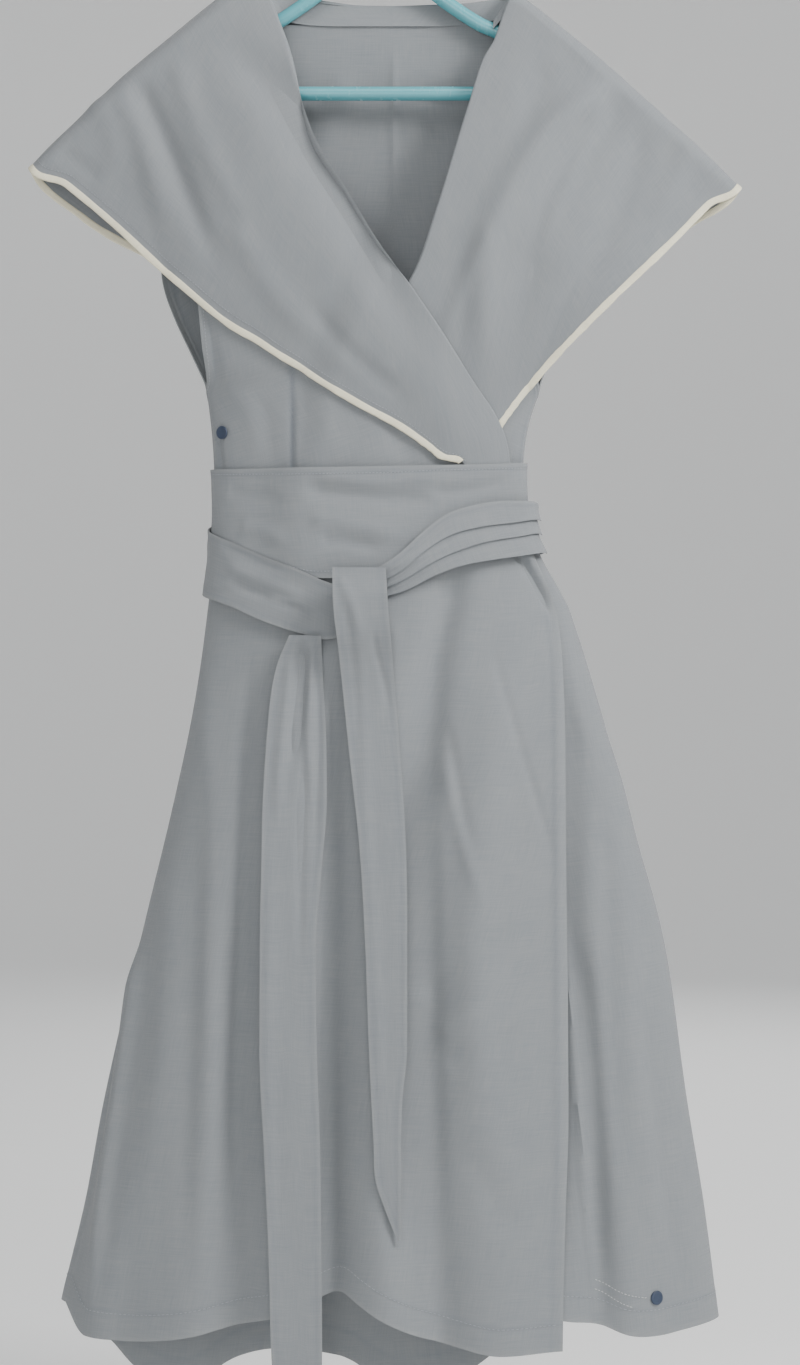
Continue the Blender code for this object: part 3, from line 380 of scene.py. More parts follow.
def lattice_noise(x: np.ndarray, y: np.ndarray, seed: float) -> np.ndarray:
    """Smooth noise between -1 and 1 on a unit lattice, the same on every run.

    Args:
        x: Places across, in steps of the lattice.
        y: Places down, in steps of the lattice.
        seed: Number that picks one pattern.

    Returns:
        The noise at each place.
    """
    total = np.zeros(np.broadcast(x, y).shape)
    for octave, share in ((1.0, 0.65), (2.1, 0.35)):
        px, py = x * octave + seed, y * octave - seed
        ix, iy = np.floor(px), np.floor(py)
        fx, fy = smooth(px - ix), smooth(py - iy)
        corners = []
        for dx, dy in ((0, 0), (1, 0), (0, 1), (1, 1)):
            wave = np.sin((ix + dx) * 127.1 + (iy + dy) * 311.7 + seed * 74.7) * 43758.5453
            corners.append((wave - np.floor(wave)) * 2 - 1)
        low = corners[0] + (corners[1] - corners[0]) * fx
        high = corners[2] + (corners[3] - corners[2]) * fx
        total = total + share * (low + (high - low) * fy)
    return total


@dataclass(frozen=True)
class Relief:
    """The small form of one piece: named creases and an uneven ripple of the cloth."""

    creases: tuple[Crease, ...] = ()
    ripple: float = 0.6
    across: float = 42.0
    along: float = 130.0
    seed: float = 1.0

    def height(self, x: np.ndarray, drop: np.ndarray) -> np.ndarray:
        """Height of the cloth over its plain form in millimetres.

        Args:
            x: Sideways places.
            drop: Drops.

        Returns:
            The heights, positive outwards.
        """
        total = self.ripple * lattice_noise(x / self.across, drop / self.along, self.seed)
        for crease in self.creases:
            run_x, run_d = crease.x1 - crease.x0, crease.drop1 - crease.drop0
            length = math.hypot(run_x, run_d)
            along = ((x - crease.x0) * run_x + (drop - crease.drop0) * run_d) / length ** 2
            off = ((x - crease.x0) * run_d - (drop - crease.drop0) * run_x) / length
            wander = crease.bow * (1 - (2 * along - 1) ** 2)
            if crease.width > SEAM_WIDTH:
                wander = wander + 0.35 * crease.width * np.sin(along * 5.1 + crease.x0)
            fade = smooth(along / 0.16) * smooth((1 - along) / 0.35)
            total = total + crease.height * fade * np.exp(-((off - wander) / crease.width) ** 2)
        return total

    def shade(self, x: np.ndarray, drop: np.ndarray) -> np.ndarray:
        """Painted shade that darkens the sewn seams' grooves by their depth, from 0 to 1."""
        seams = tuple(crease for crease in self.creases if crease.width <= SEAM_WIDTH)
        return np.clip(-Relief(seams, 0.0).height(x, drop), 0, 1)


class Body:
    """The hollow that the dress keeps: a tube worked out from sections, folds and shoulders."""

    def __init__(self) -> None:
        """Prepare the functions of the tables."""
        self.left = curve(BODY, "drop", "left")
        self.right = curve(BODY, "drop", "right")
        self.front = curve(BODY, "drop", "front")
        self.back = curve(BODY, "drop", "back")
        self.wrap_left = curve(WRAP, "drop", "left")
        self.wrap_right = curve(WRAP, "drop", "right")
        self.hole_front = curve(ARMHOLE, "drop", "front")
        self.hole_back = curve(ARMHOLE, "drop", "back")

    def middle(self, drop: np.ndarray) -> np.ndarray:
        """Middle of the tube."""
        return (self.left(drop) + self.right(drop)) / 2

    def half(self, drop: np.ndarray) -> np.ndarray:
        """Half of the tube's width."""
        return (self.right(drop) - self.left(drop)) / 2

    def x(self, angle: np.ndarray, drop: np.ndarray) -> np.ndarray:
        """Sideways place of a point of the tube."""
        return self.middle(drop) + self.half(drop) * np.cos(angle)

    def front_angle(self, x: np.ndarray, drop: np.ndarray) -> np.ndarray:
        """Angle of the front point at a given x."""
        share = (x - self.middle(drop)) / self.half(drop)
        return 2 * PI - np.arccos(np.clip(share, -0.9999, 0.9999))

    def shoulder(self, x: np.ndarray) -> np.ndarray:
        """Drop of the fold over the hanger's arms, level across the neck."""
        return SHOULDER_TOP + SHOULDER_SLOPE * soft_max(np.abs(x) - NECK_SIDE, 0.0, 3.0)

    def top(self, angle: np.ndarray) -> np.ndarray:
        """Drop of the shoulder line for one angle.

        Args:
            angle: Angles round the dress in radians.

        Returns:
            The drops of the line.
        """
        drop = np.full(np.shape(angle), 165.0)
        for _ in range(6):
            drop = self.shoulder(self.x(angle, drop))
        return drop

    @staticmethod
    def ridge(x: np.ndarray) -> np.ndarray:
        """Drop of the collar's fold line, which slopes straight to each tip.

        Args:
            x: Sideways places.

        Returns:
            The drops of the line.
        """
        (x0, drop0), (x1, drop1) = RIDGE_ENDS
        neck = drop0 + (x - x0) * (drop1 - drop0) / (x1 - x0)
        left = drop0 - RIDGE_SLOPES[0] * (x - x0)
        right = drop1 + RIDGE_SLOPES[1] * (x - x1)
        return soft_max(neck, soft_max(left, right, RIDGE_ROUND), RIDGE_ROUND) - RIDGE_RISE

    @staticmethod
    def fold_over(run: np.ndarray, radius: float) -> tuple[np.ndarray, np.ndarray]:
        """Fall and reach of cloth that turns over an edge and then hangs.

        Args:
            run: Lengths of cloth from the fold, to either side.
            radius: Radius of the fold.

        Returns:
            The fall below the fold, and the reach to the side.
        """
        turn = radius * PI / 2
        bent = np.clip(run, -turn, turn) / radius
        fall = radius * (1 - np.cos(bent)) + np.maximum(np.abs(run) - turn, 0.0)
        return fall, radius * np.sin(bent)

    @staticmethod
    def run_for(fall: np.ndarray, radius: float) -> np.ndarray:
        """Length of cloth that reaches a given fall below its fold."""
        turned = radius * np.arccos(np.clip(1 - fall / radius, -1, 1))
        return np.where(fall < radius, turned, radius * PI / 2 + fall - radius)

    @staticmethod
    def folds(x: np.ndarray, drop: np.ndarray, folds: Sequence[Fold]) -> np.ndarray:
        """Sum of the long skirt folds, positive outwards.

        Args:
            x: Sideways places.
            drop: Drops.
            folds: Table of folds.

        Returns:
            The heights.
        """
        height = np.zeros(np.broadcast(x, drop).shape)
        for fold in folds:
            middle = fold.x_waist + (fold.x_hem - fold.x_waist) * (drop - 600) / 700
            grown = smooth((drop - fold.start) / 420)
            height = height + fold.height * grown * np.exp(-((x - middle) / fold.width) ** 2)
        return height * FOLD_DEPTH

    @staticmethod
    def side_flatness(side: np.ndarray, drop: np.ndarray) -> np.ndarray:
        """Share of the depth near the sides: nearly flat over the hanger, round at the waist."""
        wide = side ** 0.35
        return wide + (side - wide) * smooth((drop - 400) / 110)

    def point(self, angle: np.ndarray, run: np.ndarray) -> np.ndarray:
        """Point at an angle and a length of cloth below the shoulder.

        Args:
            angle: Angles round the dress in radians.
            run: Lengths of cloth from the shoulder.

        Returns:
            The points in millimetres.
        """
        fall, reach = self.fold_over(run, BODY_FOLD)
        drop = self.top(angle) + fall
        x = self.x(angle, drop)
        side = np.sin(angle)
        flat = np.sign(side) * self.side_flatness(np.abs(side), drop)
        depth = np.where(side < 0, self.front(drop), self.back(drop))
        share = smooth((drop - self.ridge(x)) / RAMP) * (1 - np.exp(-fall / 15))
        waves = np.where(side < 0, self.folds(x, drop, FRONT_FOLDS),
                         self.folds(x, drop, BACK_FOLDS))
        return np.stack([x, flat * (reach + (depth - BODY_FOLD) * share + waves), -drop], axis=-1)

    def tent(self, x: np.ndarray, run: np.ndarray) -> np.ndarray:
        """Point of the collar's own tent; run is positive in front and negative behind.

        Args:
            x: Sideways places.
            run: Lengths of cloth from the fold.

        Returns:
            The points in millimetres.
        """
        fall, reach = self.fold_over(run, COLLAR_FOLD)
        drop = self.ridge(x) + fall
        depth = np.where(run > 0, self.front(drop), self.back(drop))
        side = np.sqrt(np.clip(1 - ((x - self.middle(drop)) / self.half(drop)) ** 2, 0.16, 1))
        depth = depth * np.where(run > 0, self.side_flatness(side, drop), 1.0)
        y = -reach - np.sign(run) * (depth + COLLAR_LIFT - COLLAR_FOLD) * smooth(fall / RAMP)
        return np.stack([x, y, -drop], axis=-1)

    def lifted(self, angle: np.ndarray, run: np.ndarray, lift: np.ndarray) -> np.ndarray:
        """Point of the tube moved out by a layer's distance."""
        normal = outward(self.point, angle, run, 0.004, 0.8)
        return self.point(angle, run) + normal * np.asarray(lift)[..., None]

    def at(self, angle: np.ndarray, drop: np.ndarray, lift: np.ndarray) -> np.ndarray:
        """Lifted point at a given drop."""
        return self.lifted(angle, self.run_for(drop - self.top(angle), BODY_FOLD), lift)

    def over_lift(self, x: np.ndarray, drop: np.ndarray) -> np.ndarray:
        """Lift of the left front where the right front and its collar lie beneath it."""
        return OVER_LIFT * smooth((x - self.wrap_right(drop) + 58) / 36)

    def skirt_lift(self, x: np.ndarray, drop: np.ndarray) -> np.ndarray:
        """Lift of the over skirt over the under skirt.

        Args:
            x: Sideways places.
            drop: Drops.

        Returns:
            The distances from the body's surface.
        """
        top = self.over_lift(x, drop)
        low = SKIRT_OVER_LIFT * smooth((x - UNDER_EDGE + 46) / 40)
        return top + (low - top) * smooth((drop - WAIST_SEAM) / 60)

    def band_lift(self, angle: np.ndarray, drop: np.ndarray) -> np.ndarray:
        """Lift of the sash where it goes round the waist.

        Args:
            angle: Angles round the dress in radians.
            drop: Drops.

        Returns:
            The distances from the body's surface.
        """
        x = self.x(angle, drop)
        in_front = smooth(-np.sin(angle) / 0.42)
        overlap = smooth((x - self.wrap_right(BAND_TOP) + 78) / 46)
        lift = BAND_SIDE_LIFT + (BAND_LIFT - BAND_SIDE_LIFT) * in_front * overlap
        low = 4.2 * in_front + BAND_SIDE_LIFT * (1 - in_front)
        return lift + (low - lift) * smooth((drop - 620) / 36)

    def front_y(self, x: np.ndarray, drop: np.ndarray) -> np.ndarray:
        """Foremost cloth at a place of the front: over skirt below, sash above.

        Args:
            x: Sideways places.
            drop: Drops.

        Returns:
            The Y of the cloth.
        """
        angle = self.front_angle(x, drop)
        skirt = self.at(angle, drop, self.skirt_lift(x, drop))[..., 1]
        wrap = self.at(angle, drop, self.band_lift(angle, drop) + 1.8 * TIE_STEP)[..., 1]
        return wrap + (skirt - wrap) * smooth((drop - 676) / 30)


def outward(point: Surface, a: np.ndarray, b: np.ndarray, step_a: float,
            step_b: float) -> np.ndarray:
    """Outward unit normal of a surface, from small steps along it.

    Args:
        point: The surface as a function of two values.
        a: First values.
        b: Second values.
        step_a: Small step of the first value.
        step_b: Small step of the second value.

    Returns:
        The normals.
    """
    along = point(a + step_a, b) - point(a - step_a, b)
    down = point(a, b + step_b) - point(a, b - step_b)
    return unit(-np.cross(along, down))


BODY_FORM = Body()


class Wire:
    """A shader value that can be used in plain arithmetic."""

    def __init__(self, graph: "Graph", socket: bpy.types.NodeSocket | None) -> None:
        """Remember the graph and the socket that gives the value."""
        self.graph = graph
        self.socket = socket

    def math(self, operation: str, other: "Wire | float" = 0.0, swapped: bool = False) -> "Wire":
        """Add a Math node for this value and another."""
        pair = (other, self) if swapped else (self, other)
        return self.graph.node("ShaderNodeMath", {"operation": operation}, {0: pair[0], 1: pair[1]})

    def __add__(self, other: "Wire | float") -> "Wire":
        """Sum."""
        return self.math("ADD", other)

    def __radd__(self, other: "Wire | float") -> "Wire":
        """Sum with a number on the left."""
        return self.math("ADD", other, True)

    def __sub__(self, other: "Wire | float") -> "Wire":
        """Difference."""
        return self.math("SUBTRACT", other)

    def __rsub__(self, other: "Wire | float") -> "Wire":
        """Difference from a number on the left."""
        return self.math("SUBTRACT", other, True)

    def __mul__(self, other: "Wire | float") -> "Wire":
        """Product."""
        return self.math("MULTIPLY", other)

    def __rmul__(self, other: "Wire | float") -> "Wire":
        """Product with a number on the left."""
        return self.math("MULTIPLY", other, True)

    def clamped(self) -> "Wire":
        """The value kept between 0 and 1."""
        return self.graph.node("ShaderNodeClamp", {}, {"Value": self})


class Graph:
    """The node tree of one material."""

    def __init__(self, name: str) -> None:
        """Start a material with an empty tree.

        Args:
            name: Name of the material.
        """
        self.material = bpy.data.materials.new(name)
        self.material.use_nodes = True
        self.tree = self.material.node_tree
        self.tree.nodes.clear()

    def node(self, kind: str, settings: dict | None = None, sockets: dict | None = None,
             output: int | str = 0) -> Wire:
        """Add a node.

        Args:
            kind: Blender's type of the node.
            settings: The node's own settings, set before its sockets.
            sockets: Values or wires by socket name or number.
            output: Which output is wanted.

        Returns:
            The wanted output.
        """
        made = self.tree.nodes.new(kind)
        for key, value in (settings or {}).items():
            setattr(made, key, value)
        for key, value in (sockets or {}).items():
            if isinstance(value, Wire):
                self.tree.links.new(value.socket, made.inputs[key])
            else:
                made.inputs[key].default_value = value
        return Wire(self, made.outputs[output] if len(made.outputs) else None)

    def mix(self, share: Wire | float, first: Wire | tuple, second: Wire | tuple) -> Wire:
        """Mix two colours."""
        return self.node("ShaderNodeMix", {"data_type": "RGBA"}, {0: share, 6: first, 7: second}, 2)

    def noise(self, place: Wire, scale: tuple[float, float, float], detail: float = 2.0) -> Wire:
        """Noise over a place that is stretched first."""
        spread = self.node("ShaderNodeMapping", {}, {"Vector": place, "Scale": scale})
        return self.node("ShaderNodeTexNoise", {},
                         {"Vector": spread, "Scale": 1.0, "Detail": detail})

    def bump(self, height: Wire, distance: float, strength: float) -> Wire:
        """Turn a height into a normal."""
        return self.node("ShaderNodeBump", {}, {"Height": height, "Distance": distance,
                                                "Strength": strength})

    def surface(self, sockets: dict) -> bpy.types.Material:
        """Finish the material with a Principled shader.

        Args:
            sockets: Values or wires of the shader's inputs by name.

        Returns:
            The material.
        """
        shader = self.node("ShaderNodeBsdfPrincipled", {}, sockets)
        self.node("ShaderNodeOutputMaterial", {}, {"Surface": shader})
        return self.material


@dataclass(frozen=True)
class Chambray:
    """Plain weave with a blue-grey warp, a paler weft and slubs in both."""

    name: str = "chambray"
    warp: Colour = (0.168, 0.187, 0.213, 1)
    weft: Colour = (0.29, 0.30, 0.298, 1)
    roughness: float = 0.86
    sheen: float = 0.18
    yarns_a_metre: float = 1900.0

    def material(self) -> bpy.types.Material:
        """Build the cloth's material on its own UV map in metres.

        Returns:
            The material.
        """
        graph = Graph(self.name)
        place = graph.node("ShaderNodeUVMap", {"uv_map": "cloth"})
        wear_and_shade = graph.node("ShaderNodeAttribute", {"attribute_name": "wear_and_shade"}, {}, "Fac")
        warp_slub = graph.noise(place, (1050, 42, 1), 3)
        weft_slub = graph.noise(place, (36, 1150, 1), 3)
        mottle = graph.noise(place, (26, 22, 1), 3)
        grain = graph.noise(place, (1900, 1900, 1), 1)
        pale = (warp_slub - 0.5) * 0.5 + (weft_slub - 0.5) * 0.6 + (grain - 0.5) * 0.35
        # The attribute pales rubbed edges (real wear) and darkens the seams and the groove past
        # each hem (painted shade).
        share = (0.5 + pale + (mottle - 0.5) * 0.22 + wear_and_shade * 0.35).clamped()
        colour = graph.mix(share, self.warp, self.weft)
        yarn = 2 * PI * self.yarns_a_metre
        across = graph.node("ShaderNodeSeparateXYZ", {}, {0: place})
        down = Wire(graph, across.socket.node.outputs[1])
        weave = (across * yarn).math("SINE") * (down * yarn).math("SINE")
        height = weave * 0.5 + warp_slub * 0.35 + weft_slub * 0.45
        return graph.surface({
            "Base Color": colour,
            "Roughness": self.roughness,
            "Sheen Weight": self.sheen,
            "Sheen Roughness": 0.5,
            "Specular IOR Level": 0.25,
            "Normal": graph.bump(height, 0.00025, 0.5),
        })


@dataclass(frozen=True)
class Binding:
    """Cream bias strip with its diagonal weave."""

    name: str = "cream_binding"
    colour: Colour = (0.80, 0.76, 0.58, 1)
    shade: Colour = (0.60, 0.55, 0.40, 1)

    def material(self) -> bpy.types.Material:
        """Build the strip's material on its own UV map in metres.

        Returns:
            The material.
        """
        graph = Graph(self.name)
        place = graph.node("ShaderNodeUVMap", {"uv_map": "cloth"})
        slant = graph.node("ShaderNodeMapping", {}, {"Vector": place, "Rotation": (0, 0, PI / 4)})
        rib = graph.noise(slant, (1700, 220, 1), 2)
        soil = graph.noise(place, (40, 40, 1), 3)
        share = ((rib - 0.5) * 0.9 + (soil - 0.45) * 0.9 + 0.25).clamped()
        return graph.surface({
            "Base Color": graph.mix(share, self.colour, self.shade),
            "Roughness": 0.8,
            "Sheen Weight": 0.1,
            "Normal": graph.bump(rib, 0.0003, 0.5),
        })


@dataclass(frozen=True)
class Moulding:
    """Turquoise plastic of the hanger, glossy with fine handling marks."""

    name: str = "turquoise_plastic"
    colour: Colour = (0.085, 0.33, 0.38, 1)
    pale: Colour = (0.12, 0.385, 0.43, 1)

    def material(self) -> bpy.types.Material:
        """Build the plastic's material on object coordinates.

        Returns:
            The material.
        """
        graph = Graph(self.name)
        place = graph.node("ShaderNodeTexCoord", {}, {}, "Object")
        cloud = graph.noise(place, (14, 14, 14), 3)
        scuff = graph.noise(place, (180, 180, 60), 4)
        return graph.surface({
            "Base Color": graph.mix(cloud, self.colour, self.pale),
            "Roughness": (0.26 + (scuff - 0.5) * 0.12).clamped(),
            "IOR": 1.49,
        })


@dataclass(frozen=True)
class Fastener:
    """Navy plastic of the two round dots."""

    name: str = "navy_plastic"
    colour: Colour = (0.016, 0.03, 0.062, 1)
    dust: Colour = (0.035, 0.05, 0.085, 1)

    def material(self) -> bpy.types.Material:
        """Build the dots' material on object coordinates.

        Returns:
            The material.
        """
        graph = Graph(self.name)
        place = graph.node("ShaderNodeTexCoord", {}, {}, "Object")
        cloud = graph.noise(place, (500, 500, 500), 3)
        return graph.surface({
            "Base Color": graph.mix(cloud, self.colour, self.dust),
            "Roughness": (0.3 + cloud * 0.3).clamped(),
        })


@dataclass(frozen=True)
class Thread:
    """Spun sewing thread in one colour."""

    name: str
    colour: Colour

    def material(self) -> bpy.types.Material:
        """Build the thread's material on object coordinates.

        Returns:
            The material.
        """
        graph = Graph(self.name)
        place = graph.node("ShaderNodeTexCoord", {}, {}, "Object")
        twist = graph.noise(place, (2600, 2600, 2600), 1)
        dark = tuple(0.6 * part for part in self.colour[:3]) + (1,)
        return graph.surface({
            "Base Color": graph.mix(twist, dark, self.colour),
            "Roughness": 0.6,
            "Sheen Weight": 0.2,
        })


class Finishes:
    """Every material, made once."""

    def __init__(self) -> None:
        """Build the materials."""
        self.cloth = Chambray().material()
        self.binding = Binding().material()
        self.plastic = Moulding().material()
        self.navy = Fastener().material()
        self.tone_thread = Thread("blue_grey_thread", (0.42, 0.45, 0.48, 1)).material()
        self.white_thread = Thread("white_thread", (0.80, 0.80, 0.78, 1)).material()


def add_object(name: str, data: bpy.types.ID) -> bpy.types.Object:
    """Make an object of some data and link it to the scene.

    Args:
        name: Name of the object.
        data: Its mesh, light or camera.

    Returns:
        The object.
    """
    made = bpy.data.objects.new(name, data)
    bpy.context.scene.collection.objects.link(made)
    return made


def write_mesh(name: str, points: np.ndarray, quads: np.ndarray, uv: np.ndarray | None = None,
               wear_and_shade: np.ndarray | None = None, sharp: float = 50.0) -> bpy.types.Object:
    """Make a mesh object from arrays.

    Args:
        name: Name of the piece.
        points: Corners in millimetres.
        quads: Four corner numbers a face, turned outwards.
        uv: Place on the cloth of each corner in metres.
        wear_and_shade: Paleness of each corner from rubbing, with painted shade in seams and hem
            grooves as negative values.
        sharp: Edges sharper than this many degrees stay crisp.

    Returns:
        The object, linked to the scene.
    """
    mesh = bpy.data.meshes.new(name)
    mesh.vertices.add(len(points))
    mesh.vertices.foreach_set("co", (np.asarray(points, float) * MM).ravel())
    mesh.loops.add(quads.size)
    mesh.loops.foreach_set("vertex_index", quads.ravel().astype(np.int32))
    mesh.polygons.add(len(quads))
    mesh.polygons.foreach_set("loop_start", np.arange(0, quads.size, 4, dtype=np.int32))
    mesh.update(calc_edges=True)
    if uv is not None:
        layer = mesh.uv_layers.new(name="cloth")
        layer.data.foreach_set("uv", uv[quads.ravel()].ravel())
    if wear_and_shade is not None:
        mesh.attributes.new("wear_and_shade", "FLOAT", "POINT").data.foreach_set("value", wear_and_shade)
    mesh.validate()
    mesh.shade_smooth()
    mesh.set_sharp_from_angle(angle=math.radians(sharp))
    return add_object(name, mesh)


def outward_quads(points: np.ndarray, quads: np.ndarray) -> np.ndarray:
    """Turn every face of a closed shape round if the shape is inside out.

    Args:
        points: Corners of the shape.
        quads: Corner numbers of its faces.

    Returns:
        The faces, turned outwards.
    """
    a, b, c, d = (points[quads[:, k]] for k in range(4))
    volume = np.sum(a * np.cross(b, c)) + np.sum(a * np.cross(c, d))
    return quads if volume > 0 else quads[:, ::-1]


def wall_quads(across: int, down: int) -> np.ndarray:
    """Faces of a wall whose two skins are grids and whose rim is closed.

    Args:
        across: Points across a skin.
        down: Points down a skin.

    Returns:
        Corner numbers of the faces.
    """
    size = across * down
    i, j = np.meshgrid(np.arange(across - 1), np.arange(down - 1), indexing="ij")
    a = (i * down + j).ravel()
    outer = np.stack([a, a + down, a + down + 1, a + 1], axis=1)
    rim = [k * down for k in range(across)]
    rim += [(across - 1) * down + k for k in range(1, down)]
    rim += [k * down + down - 1 for k in range(across - 2, -1, -1)]
    rim += list(range(down - 2, 0, -1))
    edge = np.array(rim)
    after = np.roll(edge, -1)
    sides = np.stack([after, edge, size + edge, size + after], axis=1)
    return np.concatenate([outer, outer[:, ::-1] + size, sides])


def tube_quads(rings: int, sides: int) -> np.ndarray:
    """Faces round a tube; a ring shrunk to a point closes each end.

    Args:
        rings: Number of rings, with those at the ends.
        sides: Points in a ring.

    Returns:
        Corner numbers of the faces.
    """
    ring, side = np.meshgrid(np.arange(rings - 1), np.arange(sides), indexing="ij")
    a = (ring * sides + side).ravel()
    b = (ring * sides + (side + 1) % sides).ravel()
    return np.stack([a, b, b + sides, a + sides], axis=1)


def lengths(points: np.ndarray, axis: int) -> np.ndarray:
    """Length of cloth up to each point of a grid along one of its ways.

    Args:
        points: Grid of points.
        axis: 0 for across and 1 for down.

    Returns:
        The lengths, 0 at the first edge.
    """
    steps = np.linalg.norm(np.diff(points, axis=axis), axis=-1)
    pad = [(0, 0), (0, 0)]
    pad[axis] = (1, 0)
    return np.pad(np.cumsum(steps, axis=axis), pad)


class Hem(NamedTuple):
    """Doubled cloth along an edge: which edge, how wide, and how far its stitches sink."""

    edge: str
    width: float
    sink: float = 0.35


@dataclass
class Cloth:
    """One cut piece of cloth on its surface, with relief, hems and a place on the weave."""

    name: str
    surface: Surface
    us: np.ndarray
    vs: np.ndarray
    nodes: tuple[str, ...]
    flat: tuple[float, float]
    area: float | None
    held: Hold
    rests_on: tuple[str, ...] = ()
    relief: Relief = field(default_factory=Relief)
    pinned: tuple[str, ...] = ()
    hems: tuple[Hem, ...] = ()
    trims: list[bpy.types.Object] = field(default_factory=list)
    shell: float = SHELL

    def height(self, u: np.ndarray, v: np.ndarray, middle: np.ndarray) -> np.ndarray:
        """Relief at each point; it dies away at an edge that is sewn to another piece.

        Args:
            u: Shares across the piece, from 0 to 1.
            v: Shares down the piece, from 0 to 1.
            middle: Points of the surface without relief.

        Returns:
            The heights, positive outwards.
        """
        total = self.relief.height(middle[..., 0], -middle[..., 2])
        for edge in self.pinned:
            far = {"start": u, "end": 1 - u, "top": v, "bottom": 1 - v}[edge]
            total = total * smooth(far / PINNED_SHARE)
        return total

    def grid(self) -> tuple[np.ndarray, np.ndarray]:
        """Middle points of the cloth and their outward normals, with the relief.

        Returns:
            The points and the normals.
        """
        u, v = np.meshgrid(self.us, self.vs, indexing="ij")
        middle = self.surface(u, v)
        normal = unit(-np.cross(np.gradient(middle, axis=0), np.gradient(middle, axis=1)))
        return middle + normal * self.height(u, v, middle)[..., None], normal

    def line(self, us: np.ndarray, vs: np.ndarray, lift: float) -> np.ndarray:
        """Points along the cloth, raised from its middle to its outer face.

        Args:
            us: Shares across the piece.
            vs: Shares down the piece.
            lift: Distance from the middle of the cloth.

        Returns:
            The points in millimetres.
        """
        u, v = np.broadcast_arrays(np.asarray(us, float), np.asarray(vs, float))
        middle = self.surface(u, v)
        height = self.height(u, v, middle) + lift
        return middle + outward(self.surface, u, v, 0.002, 0.002) * height[..., None]

    def edge_distance(self, edge: str, middle: np.ndarray) -> np.ndarray:
        """Length of cloth from each point to one edge."""
        across, down = lengths(middle, 0), lengths(middle, 1)
        return {"start": across, "end": across[-1:] - across,
                "top": down, "bottom": down[:, -1:] - down}[edge]

    def build(self, material: bpy.types.Material) -> bpy.types.Object:
        """Args:
            material: Finish of the cloth.

        Returns:
            The finished object.
        """
        middle, normal = self.grid()
        thick = np.full(middle.shape[:2], self.shell)
        wear_and_shade = np.zeros(middle.shape[:2])
        sink = np.zeros(middle.shape[:2])
        # Painted shade: the colour is darkened along the grooves of the sewn seams.
        wear_and_shade = wear_and_shade - 0.9 * self.relief.shade(middle[..., 0], -middle[..., 2])
        for hem in self.hems:
            far = self.edge_distance(hem.edge, middle)
            doubled = smooth((hem.width + HEM_STEP / 2 - far) / HEM_STEP)
            thick = thick + HEM_EXTRA * self.shell * doubled
            sink = sink + hem.sink * np.exp(-((far - hem.width + STITCH_INSET) / SINK_WIDTH) ** 2)
            # Paler right at the edge from rubbing (real wear); darker in the groove past the hem's
            # step (painted shade).
            groove = np.exp(-((far - hem.width - 1.4) / 2.0) ** 2)
            wear_and_shade = wear_and_shade + EDGE_WEAR * np.exp(-far / 2.2) - GROOVE_SHADE * groove
        out = normal * (thick / 2 - sink)[..., None]
        points = np.concatenate([(middle + out).reshape(-1, 3), (middle - out).reshape(-1, 3)])
        quads = outward_quads(points, wall_quads(len(self.us), len(self.vs)))
        across, down = lengths(middle, 0), lengths(middle, 1)
        across = across - across[len(self.us) // 2]
        one = np.stack([across, down], axis=-1).reshape(-1, 2) * MM
        uv = np.concatenate([one, one + INNER_SHIFT])
        both = np.concatenate([wear_and_shade.ravel(), wear_and_shade.ravel()])
        made = write_mesh(self.name, points, quads, uv, both)
        made.data.materials.append(material)
        a, b = np.diff(middle, axis=0)[:, :-1], np.diff(middle, axis=1)[:-1]
        area = float(np.sum(np.linalg.norm(np.cross(a, b), axis=-1))) * MM * MM
        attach(made, "root")
        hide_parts(*self.nodes)
        width = float(np.max(np.sum(np.linalg.norm(a, axis=-1), axis=0))) * MM
        length = float(np.max(np.sum(np.linalg.norm(b, axis=-1), axis=1))) * MM
        LOG.info("%s: %d faces, %.3f m2, %.3f x %.3f m", self.name, len(quads), area, width, length)
        return made


